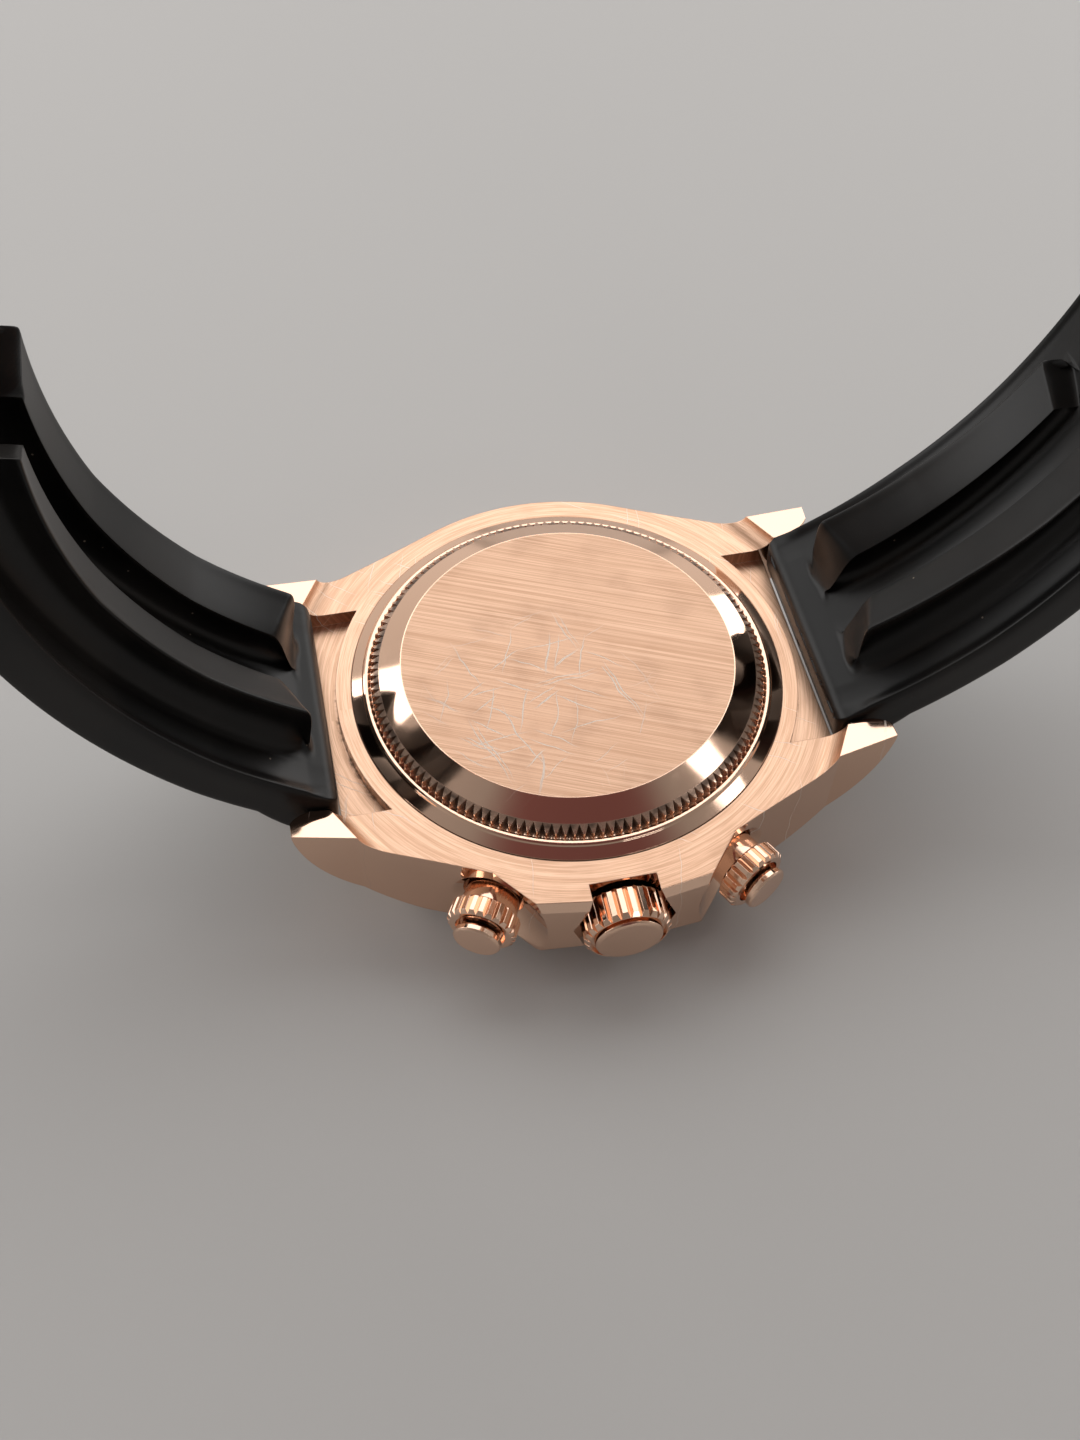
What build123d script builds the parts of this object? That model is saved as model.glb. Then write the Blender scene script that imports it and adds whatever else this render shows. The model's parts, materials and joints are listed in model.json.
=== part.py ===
"""Chronograph wristwatch with a screw-down case back, resting on its crystal.

Units are millimetres. The origin is the centre of the crystal's outer face and +Z points out of the case
back. The strap runs along X, with the half at 12 o'clock on -X, and the crown points along -Y. The clasp is
unfolded and the strap halves stand open. One wrist size is modelled.
"""
import os
from math import atan2, cos, degrees, hypot, radians, sin, sqrt, tan

from build123d import *

os.makedirs("parts", exist_ok=True)

# Case
BODY_R = 19.5            # round body seen from the back
BODY_TURN = 25           # degrees from +Y to where the body flows into a lug
LUG_TIP_X = 23.7
LUG_TIP_Y = 12.45
LUG_BEND = (19.0, 12.97)     # where a lug's outer side turns along X
LUG_GAP = 20.2           # between the lugs
BASE_Z = 2.0             # mid-case face under the bezel
BACK_Z = 9.8             # flat back of the mid-case
THICKNESS = 12.2         # crystal to case back
STEM_Z = 6.0             # height of crown and pushers
LUG_RAMP_TURN = 30       # degrees between the direction a lug's back ramp climbs in and X
LUG_RAMP_START = 21.25   # distance of the ramp's foot from the watch's axis, in that direction
LUG_RAMP_R = 1.65
FACET_Z = 11.4           # polished facet on a lug's tip at 21.3 from the middle
FACET_SLOPE = (0.184, 0.106)     # its rise towards the tip, and towards the lug's outer side
LUG_STEP_X = 15.5        # material over the flat back is left outside this, and cut to the ramps
SHELF_R = 18.9           # end of the flat back between the lugs
SHELF_X = 19.9
SHELF_Z = (4.4, 8.5)
MOVEMENT_R = 15.0        # bore for the movement
THREAD_R = 16.5          # bore for the case back
THREAD_Z = 8.0
DIAL_OPENING_R = 14.65
DIAL_Z = 3.6             # visible face of the dial
CRYSTAL_R = 15.3
GASKET_R = 15.8
BEZEL_R = 19.2

# Case back
DISC_R = 13.5            # brushed flat
FLUTE_R = 16.0
FLUTE_ROOT_R = 15.3
FLUTES = 140
BEVEL_SLOPE = 0.484
LIP_R = 16.7
LIP_Z = 10.3             # foot of the rounded lip outside the flutes
FLANGE_R = 17.8

# Crown and pushers
CROWN_R = 3.4
CROWN_FLUTES = 26
GUARD_Y = 21.75          # crown guards' front at its middle
GUARD_TURN = 8.5         # degrees each guard's front falls back
GUARD_NOTCH_Y = 19.5
PUSHER_ANGLE = 29        # degrees from -Y
COLLAR_R = 2.75
COLLAR_FLUTES = 24
BUTTON_END = 23.6        # distance of the button's face from the watch's axis
FIT = 0.06               # radial clearance of a running fit

# Strap: radii and turns, in degrees, of the wrist side's tangent arcs, from the lug to the clasp
STRAP_12 = {"side": -1, "start": (20.3, 11.8), "heading": 37, "arcs": [(70, 5), (41, 58), (90, 12)]}
STRAP_6 = {"side": 1, "start": (20.3, 11.3), "heading": 24, "arcs": [(37, 38), (45, 36), (90, 7)]}
STRAP_T = 3.4
STRAP_HALF = 9.9         # half width at the lugs
STRAP_END_HALF = 7.9     # half width at the clasp
TAPER_Z = (18, 66)       # heights between which the strap narrows
FIN_HEIGHT = 3.1
FIN_Y = (2.2, 5.6)
FIN_12 = (5.0, 37.0)     # stretch of the half at 12 that carries fins
FIN_6 = (5.0, 29.0)
BAR_X = 21.9             # lug spring bar
BAR_Z = 9.3
BAR_R = 0.75
BLADE_T = 0.6            # spring blade inside the strap
BLADE_HALF = 6.0
BLADE_SPAN = (4.0, 56.0)
NOSE_BACK = 1.9          # clasp bar, the centre of the strap's round end, back from the end of its path

# Folding clasp, all links curved about one radius
CLASP_R = 45.0
COVER_SPAN = 38.0
OUTER_SPAN = 31.5
INNER_SPAN = 31.0
COVER_HALF = 9.0
WALL_T = 0.8
OUTER_HALF = 6.0
INNER_HALF = 4.7
KNUCKLE_R = 1.15
PIN_R = 0.6
TIP_R = 0.45             # tips of the spring bars
CATCH_PIN_R = 0.4
CATCH_AT = (4.6, 22)     # catch hinge: above the cover's curve, along the cover

# Dial side
SUB_DIALS = {"minute_counter": (0, -7.5), "hour_counter": (0, 7.5), "running_seconds": (7.5, 0)}
SUB_DIAL_R = 3.6

# Movement
PLATE_Z = (4.0, 5.4)
BRIDGE_Z = (8.0, 8.7)
PLATE_R = 14.6
THIRD = (3.9, 2.6)
ESCAPE = (9.3, -2.31)
PALLET = (9.2, -4.95)
BALANCE = (7.9, -7.9)
BARREL = (-6.4, 1.0)
PILLARS = [(-1.5, 11.6), (-12.2, -4.0), (11.8, 4.6), (1.4, -5.2), (-4.5, -7.8)]
BALANCE_PILLARS = [(12.4, -4.6), (3.4, -11.6)]


def save(piece, name):
    """Label one finished sub-part and write its file."""
    piece.label = name
    export_step(piece, f"parts/{name}.step")


def polar(radius, angle):
    """Point at a radius and an angle in degrees."""
    return (radius * cos(radians(angle)), radius * sin(radians(angle)))


def hour_point(radius, turn):
    """Point on the dial, at an angle in degrees clockwise from 12 o'clock as the wearer reads it."""
    return polar(radius, 180 + turn)


def side_plane(direction):
    """Plane through the stem height: local x is the distance along direction, local y points up."""
    along = Vector(*direction)
    return Plane(origin=(0, 0, STEM_Z), x_dir=along, z_dir=along.cross(Vector(0, 0, 1)))


def end_plane(direction, distance):
    """Plane square to a direction at stem height, its normal pointing outward."""
    along = Vector(*direction)
    origin = along * distance + Vector(0, 0, STEM_Z)
    return Plane(origin=origin, x_dir=along.cross(Vector(0, 0, 1)), z_dir=along)


def upright_plane(origin, angle):
    """Plane in the X-Z view from the crown side: local x at an angle, local y at its left."""
    turn = radians(angle)
    return Plane(origin=(origin[0], 0, origin[1]), x_dir=(cos(turn), 0, sin(turn)), z_dir=(0, -1, 0))


VIEW = upright_plane((0, 0), 0)      # X-Z, extruded to both sides of the watch's middle


def fluted_points(outer, root, count, land):
    """Outline of a grooved round: land is the share of each pitch left at the outer radius."""
    pitch = 360 / count
    points = []
    for index in range(count):
        middle = index * pitch
        points.append(polar(outer, middle - land * pitch / 2))
        points.append(polar(outer, middle + land * pitch / 2))
        points.append(polar(root, middle + pitch / 2))
    return points


CROWN_DIR = (0, -1, 0)
PUSHER_DIRS = {"upper": (-sin(radians(PUSHER_ANGLE)), -cos(radians(PUSHER_ANGLE)), 0),
               "lower": (sin(radians(PUSHER_ANGLE)), -cos(radians(PUSHER_ANGLE)), 0)}


# ---------------------------------------------------------------- strap path
def path_point(path, length):
    """Place, heading in degrees and side of a strap path at a length from the lug."""
    (x, z), heading = path["start"], path["heading"]
    for radius, turn in path["arcs"]:
        span = radius * radians(turn)
        part = min(length, span)
        swept = degrees(part / radius)
        x += radius * (sin(radians(heading + swept)) - sin(radians(heading)))
        z += radius * (cos(radians(heading)) - cos(radians(heading + swept)))
        heading += swept
        length -= part
        if length <= 0:
            break
    return x, z, heading


def path_length(path):
    """Whole length of a strap path."""
    return sum(radius * radians(turn) for radius, turn in path["arcs"])


def offset_point(path, length, depth):
    """Point at a depth below the wrist side (above it when negative), in X and Z."""
    x, z, heading = path_point(path, length)
    x += depth * sin(radians(heading))
    z -= depth * cos(radians(heading))
    return (path["side"] * x, z)


def path_breaks(path, first, last):
    """Lengths where one arc of a path ends and the next begins, within a stretch."""
    breaks, total = [first], 0
    for radius, turn in path["arcs"]:
        total += radius * radians(turn)
        if first + 0.01 < total < last - 0.01:
            breaks.append(total)
    return breaks + [last]


def band_edges(path, first, last, depths):
    """Closed outline of a strip of the strap between two depths, as tangent arcs."""
    breaks = path_breaks(path, first, last)
    top, bottom = depths
    for low, high in zip(breaks, breaks[1:]):
        for depth in (top, bottom):
            ThreePointArc(*[offset_point(path, at, depth) for at in (low, (low + high) / 2, high)])
    for at in (first, last):
        Line(offset_point(path, at, top), offset_point(path, at, bottom))


def clasp_bar(path):
    """Centre of the spring bar at a strap half's clasp end."""
    return offset_point(path, path_length(path) - NOSE_BACK, STRAP_T / 2)


# ---------------------------------------------------------------- clasp places
def arc_point(radius, along):
    """Point of a clasp link in its own frame, at a length along the link's curve from its first hinge."""
    return polar(radius, 90 - degrees(along / CLASP_R))


def link_plane(first, last, local_first, local_last):
    """Plane of a clasp link that carries two local points to two hinge places."""
    angle = degrees(atan2(last[1] - first[1], last[0] - first[0]))
    own = degrees(atan2(local_last[1] - local_first[1], local_last[0] - local_first[0]))
    turn = radians(angle - own)
    x = first[0] - local_first[0] * cos(turn) + local_first[1] * sin(turn)
    z = first[1] - local_first[0] * sin(turn) - local_first[1] * cos(turn)
    return upright_plane((x, z), angle - own)


HINGE_12 = clasp_bar(STRAP_12)
HINGE_6 = clasp_bar(STRAP_6)
COVER_FIRST = arc_point(CLASP_R + 0.6, 0)
COVER_LAST = arc_point(CLASP_R + 1.3, COVER_SPAN)
OUTER_FIRST = arc_point(CLASP_R, 0)
OUTER_LAST = arc_point(CLASP_R + 1.3, OUTER_SPAN)
INNER_FIRST = OUTER_FIRST
INNER_LAST = arc_point(CLASP_R - 2.0, INNER_SPAN)
CATCH_CENTRE = arc_point(CLASP_R + CATCH_AT[0], CATCH_AT[1])


def distance(first, last):
    """Distance between two points of the X-Z view."""
    return hypot(last[0] - first[0], last[1] - first[1])


def arch_hinges():
    """Cover hinge and fold hinge of the unfolded clasp, with both blades in one line."""
    cover = distance(COVER_FIRST, COVER_LAST)
    outer = distance(OUTER_FIRST, OUTER_LAST)
    inner = distance(INNER_FIRST, INNER_LAST)
    whole = distance(HINGE_12, HINGE_6)
    along = (cover ** 2 + whole ** 2 - (outer + inner) ** 2) / (2 * whole)
    rise = sqrt(cover ** 2 - along ** 2)
    step = ((HINGE_6[0] - HINGE_12[0]) / whole, (HINGE_6[1] - HINGE_12[1]) / whole)
    top = (HINGE_12[0] + along * step[0] - rise * step[1], HINGE_12[1] + along * step[1] + rise * step[0])
    share = outer / (outer + inner)
    fold = (top[0] + share * (HINGE_6[0] - top[0]), top[1] + share * (HINGE_6[1] - top[1]))
    return top, fold


COVER_HINGE, FOLD_HINGE = arch_hinges()
COVER_PLANE = link_plane(HINGE_12, COVER_HINGE, COVER_FIRST, COVER_LAST)
OUTER_PLANE = link_plane(FOLD_HINGE, COVER_HINGE, OUTER_FIRST, OUTER_LAST)
INNER_PLANE = link_plane(FOLD_HINGE, HINGE_6, INNER_FIRST, INNER_LAST)
for name, place in (("clasp bar 12", HINGE_12), ("clasp bar 6", HINGE_6), ("cover hinge", COVER_HINGE),
                    ("fold hinge", FOLD_HINGE)):
    print(f"{name}: x {place[0]:.4f} z {place[1]:.4f}")
for name, plane in (("cover", COVER_PLANE), ("outer blade", OUTER_PLANE), ("inner blade", INNER_PLANE)):
    print(f"{name} frame: {degrees(atan2(plane.x_dir.Z, plane.x_dir.X)):.4f} degrees")


# ================================================================ case
GUARD_SLOPE = tan(radians(GUARD_TURN))
with BuildPart() as guards:
    with BuildSketch():
        with BuildLine():
            Polyline((-9.6, -15), (-9.6, -16.9), (-6.4, GUARD_SLOPE * 6.4 - GUARD_Y),
                     (0, -GUARD_Y), (6.4, GUARD_SLOPE * 6.4 - GUARD_Y), (9.6, -16.9), (9.6, -15),
                     close=True)
        make_face()
    extrude(amount=THICKNESS)
    with BuildSketch(Plane.YZ):
        with BuildLine():
            Polyline((-15, 2.7), (-20.4, 2.7), (-GUARD_Y, 4.0), (-GUARD_Y, BACK_Z), (-15, BACK_Z), close=True)
        make_face()
    extrude(amount=12, both=True, mode=Mode.INTERSECT)
    # polished bevel along the back edge of each guard
    for side in (-1, 1):
        along = (side * cos(radians(GUARD_TURN)), sin(radians(GUARD_TURN)), 0)
        bevel = Plane(origin=(0, 0.41 - GUARD_Y, BACK_Z), x_dir=along,
                      z_dir=(side * 0.894 * along[1], -0.894 * abs(along[0]), 0.447))
        with BuildSketch(bevel):
            Rectangle(12, 6, align=(Align.MIN, Align.CENTER))
        extrude(amount=4, mode=Mode.SUBTRACT)

body_x, body_y = BODY_R * sin(radians(BODY_TURN)), BODY_R * cos(radians(BODY_TURN))

# taken off the inner corner of each lug's tip, which is rounded
with BuildPart() as tip_corners:
    with BuildSketch():
        with BuildLine():
            Polyline((22.0, LUG_GAP / 2), (25, LUG_GAP / 2), (25, 11.8), (24, 11.75))
            ThreePointArc((24, 11.75), (23.2, 10.65), (22.0, LUG_GAP / 2))
        make_face()
    extrude(amount=THICKNESS + 5)
    mirror(about=Plane.XZ)
    mirror(about=Plane.YZ)

with BuildPart() as mid_case:
    with BuildSketch(Plane.XY.offset(BASE_Z)):
        with BuildLine():
            for side in (-1, 1):
                TangentArc((side * body_x, body_y), LUG_BEND if side > 0 else (-LUG_BEND[0], LUG_BEND[1]),
                           tangent=(side * cos(radians(BODY_TURN)), -sin(radians(BODY_TURN))))
                Line((side * LUG_BEND[0], LUG_BEND[1]), (side * LUG_TIP_X, LUG_TIP_Y))
                Line((side * LUG_TIP_X, LUG_TIP_Y), (side * LUG_TIP_X, 0))
            ThreePointArc((-body_x, body_y), (0, BODY_R), (body_x, body_y))
            mirror(about=Plane.XZ)
        make_face()
        with Locations((LUG_TIP_X, 0), (-LUG_TIP_X, 0)):
            Rectangle(LUG_TIP_X, LUG_GAP, mode=Mode.SUBTRACT)
        Circle(SHELF_R)
    extrude(amount=THICKNESS)
    add(tip_corners.part, mode=Mode.SUBTRACT)
    with BuildSketch(VIEW):
        with BuildLine():
            Line((0, BASE_Z), (14.5, BASE_Z))
            ThreePointArc((14.5, BASE_Z), (20.6, 5.2), (LUG_TIP_X, 11.5))
            Line((LUG_TIP_X, 11.5), (LUG_TIP_X, 13.5))
            Line((LUG_TIP_X, 13.5), (LUG_STEP_X, 13.5))
            Line((LUG_STEP_X, 13.5), (LUG_STEP_X, BACK_Z))
            Line((LUG_STEP_X, BACK_Z), (0, BACK_Z))
            mirror(about=Plane.YZ)
        make_face()
    extrude(amount=30, both=True, mode=Mode.INTERSECT)
    with BuildSketch(Plane.XY.offset(SHELF_Z[0])):
        Rectangle(2 * SHELF_X, LUG_GAP - 0.01)
    extrude(amount=SHELF_Z[1] - SHELF_Z[0])
    add(guards.part)
    # back between the lugs, then for each lug the ramp that climbs towards its tip and the polished facet
    with BuildSketch(Plane.XY.offset(BACK_Z)):
        Rectangle(2 * LUG_TIP_X, LUG_GAP)
    extrude(amount=5, mode=Mode.SUBTRACT)
    for side_x in (-1, 1):
        for side_y in (-1, 1):
            climb = Vector(side_x * cos(radians(LUG_RAMP_TURN)), side_y * sin(radians(LUG_RAMP_TURN)), 0)
            beside = Plane(origin=(0, 0, 0), x_dir=climb, z_dir=climb.cross(Vector(0, 0, 1)))
            with BuildSketch(beside.offset(-12 if side_x == side_y else -6)):
                with BuildLine():
                    Line((8, BACK_Z), (LUG_RAMP_START, BACK_Z))
                    ramp = JernArc((LUG_RAMP_START, BACK_Z), (1, 0), LUG_RAMP_R, 84)
                    Polyline(ramp @ 1, ((ramp @ 1).X, 14), (8, 14), (8, BACK_Z))
                make_face()
            extrude(amount=18, mode=Mode.SUBTRACT)
            facet = Plane(origin=(side_x * 21.3, side_y * 11.2, FACET_Z), x_dir=(1, 0, side_x * FACET_SLOPE[0]),
                          z_dir=(-side_x * FACET_SLOPE[0], -side_y * FACET_SLOPE[1], 1))
            with BuildSketch(facet):
                Rectangle(7.5, 7)
            extrude(amount=4, mode=Mode.SUBTRACT)
    # crown notch, crown tube hole, pusher pockets and tube holes
    with BuildSketch(upright_plane((0, 0), 0).offset(GUARD_NOTCH_Y)):
        with BuildLine():
            Polyline((-2.6, 1), (-2.6, 2.2), (-4.0, STEM_Z), (-2.6, BACK_Z), (-2.6, 11),
                     (2.6, 11), (2.6, BACK_Z), (4.0, STEM_Z), (2.6, 2.2), (2.6, 1), close=True)
        make_face()
    extrude(amount=6, mode=Mode.SUBTRACT)
    with BuildSketch(end_plane(CROWN_DIR, 10)):
        Circle(1.25)
    extrude(amount=12, mode=Mode.SUBTRACT)
    for direction in PUSHER_DIRS.values():
        with BuildSketch(side_plane(direction)):
            with BuildLine():
                Polyline((18.4, 0), (18.4, 2.45), (19.3, 2.45), (21.5, 5.4), (26, 5.4), (26, 0), close=True)
            make_face()
        revolve(axis=Axis((0, 0, STEM_Z), direction), mode=Mode.SUBTRACT)
        with BuildSketch(end_plane(direction, 10)):
            Circle(1.1)
        extrude(amount=12, mode=Mode.SUBTRACT)
    # bores, from the crystal side to the case back
    with BuildSketch(Plane.XY.offset(BASE_Z - 0.5)):
        Circle(DIAL_OPENING_R)
    extrude(amount=6, mode=Mode.SUBTRACT)
    with BuildSketch(Plane.XY.offset(DIAL_Z)):
        Circle(MOVEMENT_R)
    extrude(amount=9, mode=Mode.SUBTRACT)
    with BuildSketch(Plane.XY.offset(THREAD_Z)):
        Circle(THREAD_R)
    extrude(amount=9, mode=Mode.SUBTRACT)
    # holes for the lug spring bars
    for side in (-1, 1):
        with BuildSketch(upright_plane((side * BAR_X, BAR_Z), 0)):
            Circle(0.5)
        extrude(amount=11.2, both=True, mode=Mode.SUBTRACT)
save(mid_case.part, "mid_case")

def bevel_z(radius):
    """Height of the case back's bevel."""
    return THICKNESS - BEVEL_SLOPE * (radius - DISC_R)


# teeth between the flutes, cut off along the bevel
with BuildPart() as teeth:
    with BuildSketch(Plane.XY.offset(10.2)):
        Polygon(*fluted_points(FLUTE_R, FLUTE_ROOT_R, FLUTES, 0.16), align=None)
        Circle(15.0, mode=Mode.SUBTRACT)
    extrude(amount=1.5)
    with BuildSketch(Plane.XZ):
        with BuildLine():
            Polyline((14.5, 10.2), (14.5, bevel_z(14.5)), (16.2, bevel_z(16.2)), (16.2, 10.2), close=True)
        make_face()
    revolve(axis=Axis.Z, mode=Mode.INTERSECT)

with BuildPart() as case_back:
    with BuildSketch(Plane.XZ):
        with BuildLine():
            Polyline((0, 11.1), (0, THICKNESS), (DISC_R, THICKNESS), (FLUTE_ROOT_R, bevel_z(FLUTE_ROOT_R)),
                     (FLUTE_ROOT_R, LIP_Z), (16.05, LIP_Z), (16.13, LIP_Z + 0.13), (16.28, LIP_Z + 0.2),
                     (16.47, LIP_Z + 0.19), (16.62, LIP_Z + 0.11), (LIP_R, LIP_Z), (FLANGE_R - 0.2, BACK_Z + 0.08),
                     (FLANGE_R - 0.2, BACK_Z), (THREAD_R - 0.05, BACK_Z),
                     (THREAD_R - 0.05, THREAD_Z + 0.25), (14.9, THREAD_Z + 0.25), (14.9, 10.6),
                     (13.4, 11.1), close=True)
        make_face()
    revolve(axis=Axis.Z)
    add(teeth.part)
save(case_back.part, "case_back")

with BuildPart() as case_back_gasket:
    with BuildSketch(Plane.XY.offset(THREAD_Z)):
        Circle(16.2)
        Circle(15.1, mode=Mode.SUBTRACT)
    extrude(amount=0.25)
save(case_back_gasket.part, "case_back_gasket")

with BuildPart() as bezel:
    with BuildSketch(Plane.XZ):
        with BuildLine():
            Polyline((GASKET_R, 0.35), (16.3, 0.3), (16.5, 0.75), (18.5, 1.15), (18.6, 0.9), (BEZEL_R, 1.2),
                     (BEZEL_R, BASE_Z), (GASKET_R, BASE_Z), close=True)
        make_face()
    revolve(axis=Axis.Z)
save(bezel.part, "bezel")

with BuildPart() as bezel_insert:
    with BuildSketch(Plane.XZ):
        with BuildLine():
            Polyline((16.5, 0.3), (16.5, 0.75), (18.5, 1.15), (18.5, 0.72), close=True)
        make_face()
    revolve(axis=Axis.Z)
save(bezel_insert.part, "bezel_insert")

with BuildPart() as crystal:
    with BuildSketch(Plane.XY):
        Circle(CRYSTAL_R)
    extrude(amount=BASE_Z)
    chamfer(crystal.edges().group_by(Axis.Z)[0], 0.25)
save(crystal.part, "crystal")

with BuildPart() as crystal_gasket:
    with BuildSketch(Plane.XY.offset(0.6)):
        Circle(GASKET_R)
        Circle(CRYSTAL_R, mode=Mode.SUBTRACT)
    extrude(amount=BASE_Z - 0.6)
save(crystal_gasket.part, "crystal_gasket")

with BuildPart() as inner_flange:
    with BuildSketch(Plane.XZ):
        with BuildLine():
            Polyline((DIAL_OPENING_R, BASE_Z), (DIAL_OPENING_R, DIAL_Z), (13.9, DIAL_Z), (14.35, BASE_Z), close=True)
        make_face()
    revolve(axis=Axis.Z)
save(inner_flange.part, "inner_flange")

# ================================================================ dial
with BuildPart() as dial:
    with BuildSketch(Plane.XY.offset(DIAL_Z)):
        Circle(MOVEMENT_R - 0.05)
        Circle(1.05, mode=Mode.SUBTRACT)
        with Locations(*SUB_DIALS.values()):
            Circle(0.4, mode=Mode.SUBTRACT)
    extrude(amount=PLATE_Z[0] - DIAL_Z)
    with BuildSketch(Plane.XY.offset(DIAL_Z)):
        with Locations(*SUB_DIALS.values()):
            Circle(SUB_DIAL_R)
    extrude(amount=0.12, mode=Mode.SUBTRACT)
save(dial.part, "dial")

with BuildPart() as hour_markers:
    for hour in range(12):
        width, length = (2.4, 2.0) if hour == 0 else (1.0, 2.0 if hour % 3 else 1.2)
        middle = 12.6 if hour % 3 or hour == 0 else 13.0
        with BuildSketch(Plane(origin=(*hour_point(middle, 30 * hour), DIAL_Z), x_dir=(*hour_point(1, 30 * hour), 0),
                               z_dir=(0, 0, -1))):
            Rectangle(length, width)
        extrude(amount=0.3)
    chamfer(hour_markers.faces().sort_by(Axis.Z)[:12].edges(), 0.1)
save(hour_markers.part, "hour_markers")

with BuildPart() as sub_dial_rings:
    with BuildSketch(Plane.XY.offset(DIAL_Z)):
        with Locations(*SUB_DIALS.values()):
            Circle(SUB_DIAL_R + 0.28)
        with Locations(*SUB_DIALS.values()):
            Circle(SUB_DIAL_R + 0.02, mode=Mode.SUBTRACT)
    extrude(amount=-0.1)
save(sub_dial_rings.part, "sub_dial_rings")


def hand(centre, turn, z, thickness, shape, hub, pipe):
    """One hand: its outline along its pointing direction, a round hub, and a pipe or arbor through the dial."""
    pointing = (*hour_point(1, turn), 0)
    with BuildPart() as piece:
        with BuildSketch(Plane(origin=(*centre, z), x_dir=pointing, z_dir=(0, 0, 1))):
            with BuildLine():
                Polyline(*shape, *[(x, -y) for x, y in reversed(shape)], close=True)
            make_face()
            Circle(hub)
        extrude(amount=thickness)
        outer, inner, top = pipe
        with BuildSketch(Plane(origin=(*centre, z), x_dir=(1, 0, 0), z_dir=(0, 0, 1))):
            Circle(outer)
        extrude(amount=top - z)
        if inner:
            with BuildSketch(Plane(origin=(*centre, z - 1), x_dir=(1, 0, 0), z_dir=(0, 0, 1))):
                Circle(inner)
            extrude(amount=top - z + 2, mode=Mode.SUBTRACT)
    return piece.part


BATON = [(-2.2, 0.35), (0.8, 0.35), (2.0, 0.65), (7.2, 0.65), (8.4, 0.12)]
LONG_BATON = [(-2.6, 0.3), (0.8, 0.3), (2.0, 0.55), (11.0, 0.55), (12.4, 0.1)]
NEEDLE = [(-3.6, 0.32), (-1.2, 0.12), (2.0, 0.14), (13.4, 0.06)]
SHORT = [(-0.8, 0.14), (0.3, 0.14), (2.9, 0.05)]
save(hand((0, 0), 304, 3.0, 0.2, BATON, 1.15, (0.96, 0.75, 5.5)), "hour_hand")
save(hand((0, 0), 58, 2.7, 0.16, LONG_BATON, 0.95, (0.7, 0.45, 5.9)), "minute_hand")
save(hand((0, 0), 0, 2.4, 0.12, NEEDLE, 0.8, (0.39, 0, 7.9)), "chrono_seconds_hand")
save(hand(SUB_DIALS["running_seconds"], 140, 3.3, 0.1, SHORT, 0.4, (0.3, 0, 7.9)), "running_seconds_hand")
save(hand(SUB_DIALS["minute_counter"], 0, 3.3, 0.1, SHORT, 0.4, (0.3, 0, 7.7)), "minute_counter_hand")
save(hand(SUB_DIALS["hour_counter"], 0, 3.3, 0.1, SHORT, 0.4, (0.3, 0, 5.9)), "hour_counter_hand")

# ================================================================ movement
with BuildPart() as main_plate:
    with BuildSketch(Plane.XY.offset(PLATE_Z[0])):
        Circle(PLATE_R)
        Circle(1.05, mode=Mode.SUBTRACT)
        with Locations(*SUB_DIALS.values()):
            Circle(0.37, mode=Mode.SUBTRACT)
        with Locations(THIRD, ESCAPE, PALLET, BALANCE):
            Circle(0.3, mode=Mode.SUBTRACT)
        with Locations(BARREL):
            Circle(0.9, mode=Mode.SUBTRACT)
    extrude(amount=PLATE_Z[1] - PLATE_Z[0])
save(main_plate.part, "main_plate")

with BuildPart() as casing_ring:
    with BuildSketch(Plane.XY.offset(PLATE_Z[0])):
        Circle(MOVEMENT_R - 0.04)
        Circle(PLATE_R, mode=Mode.SUBTRACT)
    extrude(amount=3.4)
    for direction in (CROWN_DIR, *PUSHER_DIRS.values()):
        with BuildSketch(end_plane(direction, 12)):
            Circle(1.3)
        extrude(amount=4, mode=Mode.SUBTRACT)
save(casing_ring.part, "casing_ring")

BRIDGE_OUTLINE = [(-13.4, -5.2), (-13.6, 4.0), (-8.0, 11.6), (0.0, 13.6), (9.0, 10.0), (13.4, 5.6),
                  (13.2, -1.4), (6.0, -3.4), (3.0, -5.6), (-3.8, -9.6), (-8.5, -10.4)]
with BuildPart() as train_bridge:
    with BuildSketch(Plane.XY.offset(BRIDGE_Z[0])):
        with BuildLine():
            Polyline(*BRIDGE_OUTLINE, close=True)
        make_face()
        fillet(vertices(), 0.9)
    extrude(amount=BRIDGE_Z[1] - BRIDGE_Z[0])
    with BuildSketch(Plane.XY.offset(PLATE_Z[1])):
        with Locations(*PILLARS):
            Circle(0.9)
    extrude(amount=BRIDGE_Z[0] - PLATE_Z[1])
    with Locations(*[(x, y, BRIDGE_Z[1]) for x, y in PILLARS]):
        CounterBoreHole(0.45, 0.8, 0.35, depth=2.2)
    with Locations(*[(x, y, BRIDGE_Z[1]) for x, y in (THIRD, ESCAPE, SUB_DIALS["running_seconds"])]):
        Hole(0.55)
save(train_bridge.part, "train_bridge")

with BuildPart() as balance_bridge:
    with BuildSketch(Plane.XY.offset(BRIDGE_Z[0])):
        with BuildLine():
            Polyline((13.0, -3.4), (13.2, -5.6), (10.2, -9.2), (4.6, -12.6), (2.5, -12.4), (2.4, -11.0), (6.2, -7.4),
                     (11.0, -3.6), close=True)
        make_face()
        fillet(vertices(), 0.6)
    extrude(amount=BRIDGE_Z[1] - BRIDGE_Z[0])
    with BuildSketch(Plane.XY.offset(PLATE_Z[1])):
        with Locations(*BALANCE_PILLARS):
            Circle(0.8)
    extrude(amount=BRIDGE_Z[0] - PLATE_Z[1])
    with Locations(*[(x, y, BRIDGE_Z[1]) for x, y in BALANCE_PILLARS]):
        CounterBoreHole(0.4, 0.7, 0.35, depth=2.2)
    with Locations((*BALANCE, BRIDGE_Z[1])):
        Hole(0.55)
save(balance_bridge.part, "balance_bridge")

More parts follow.
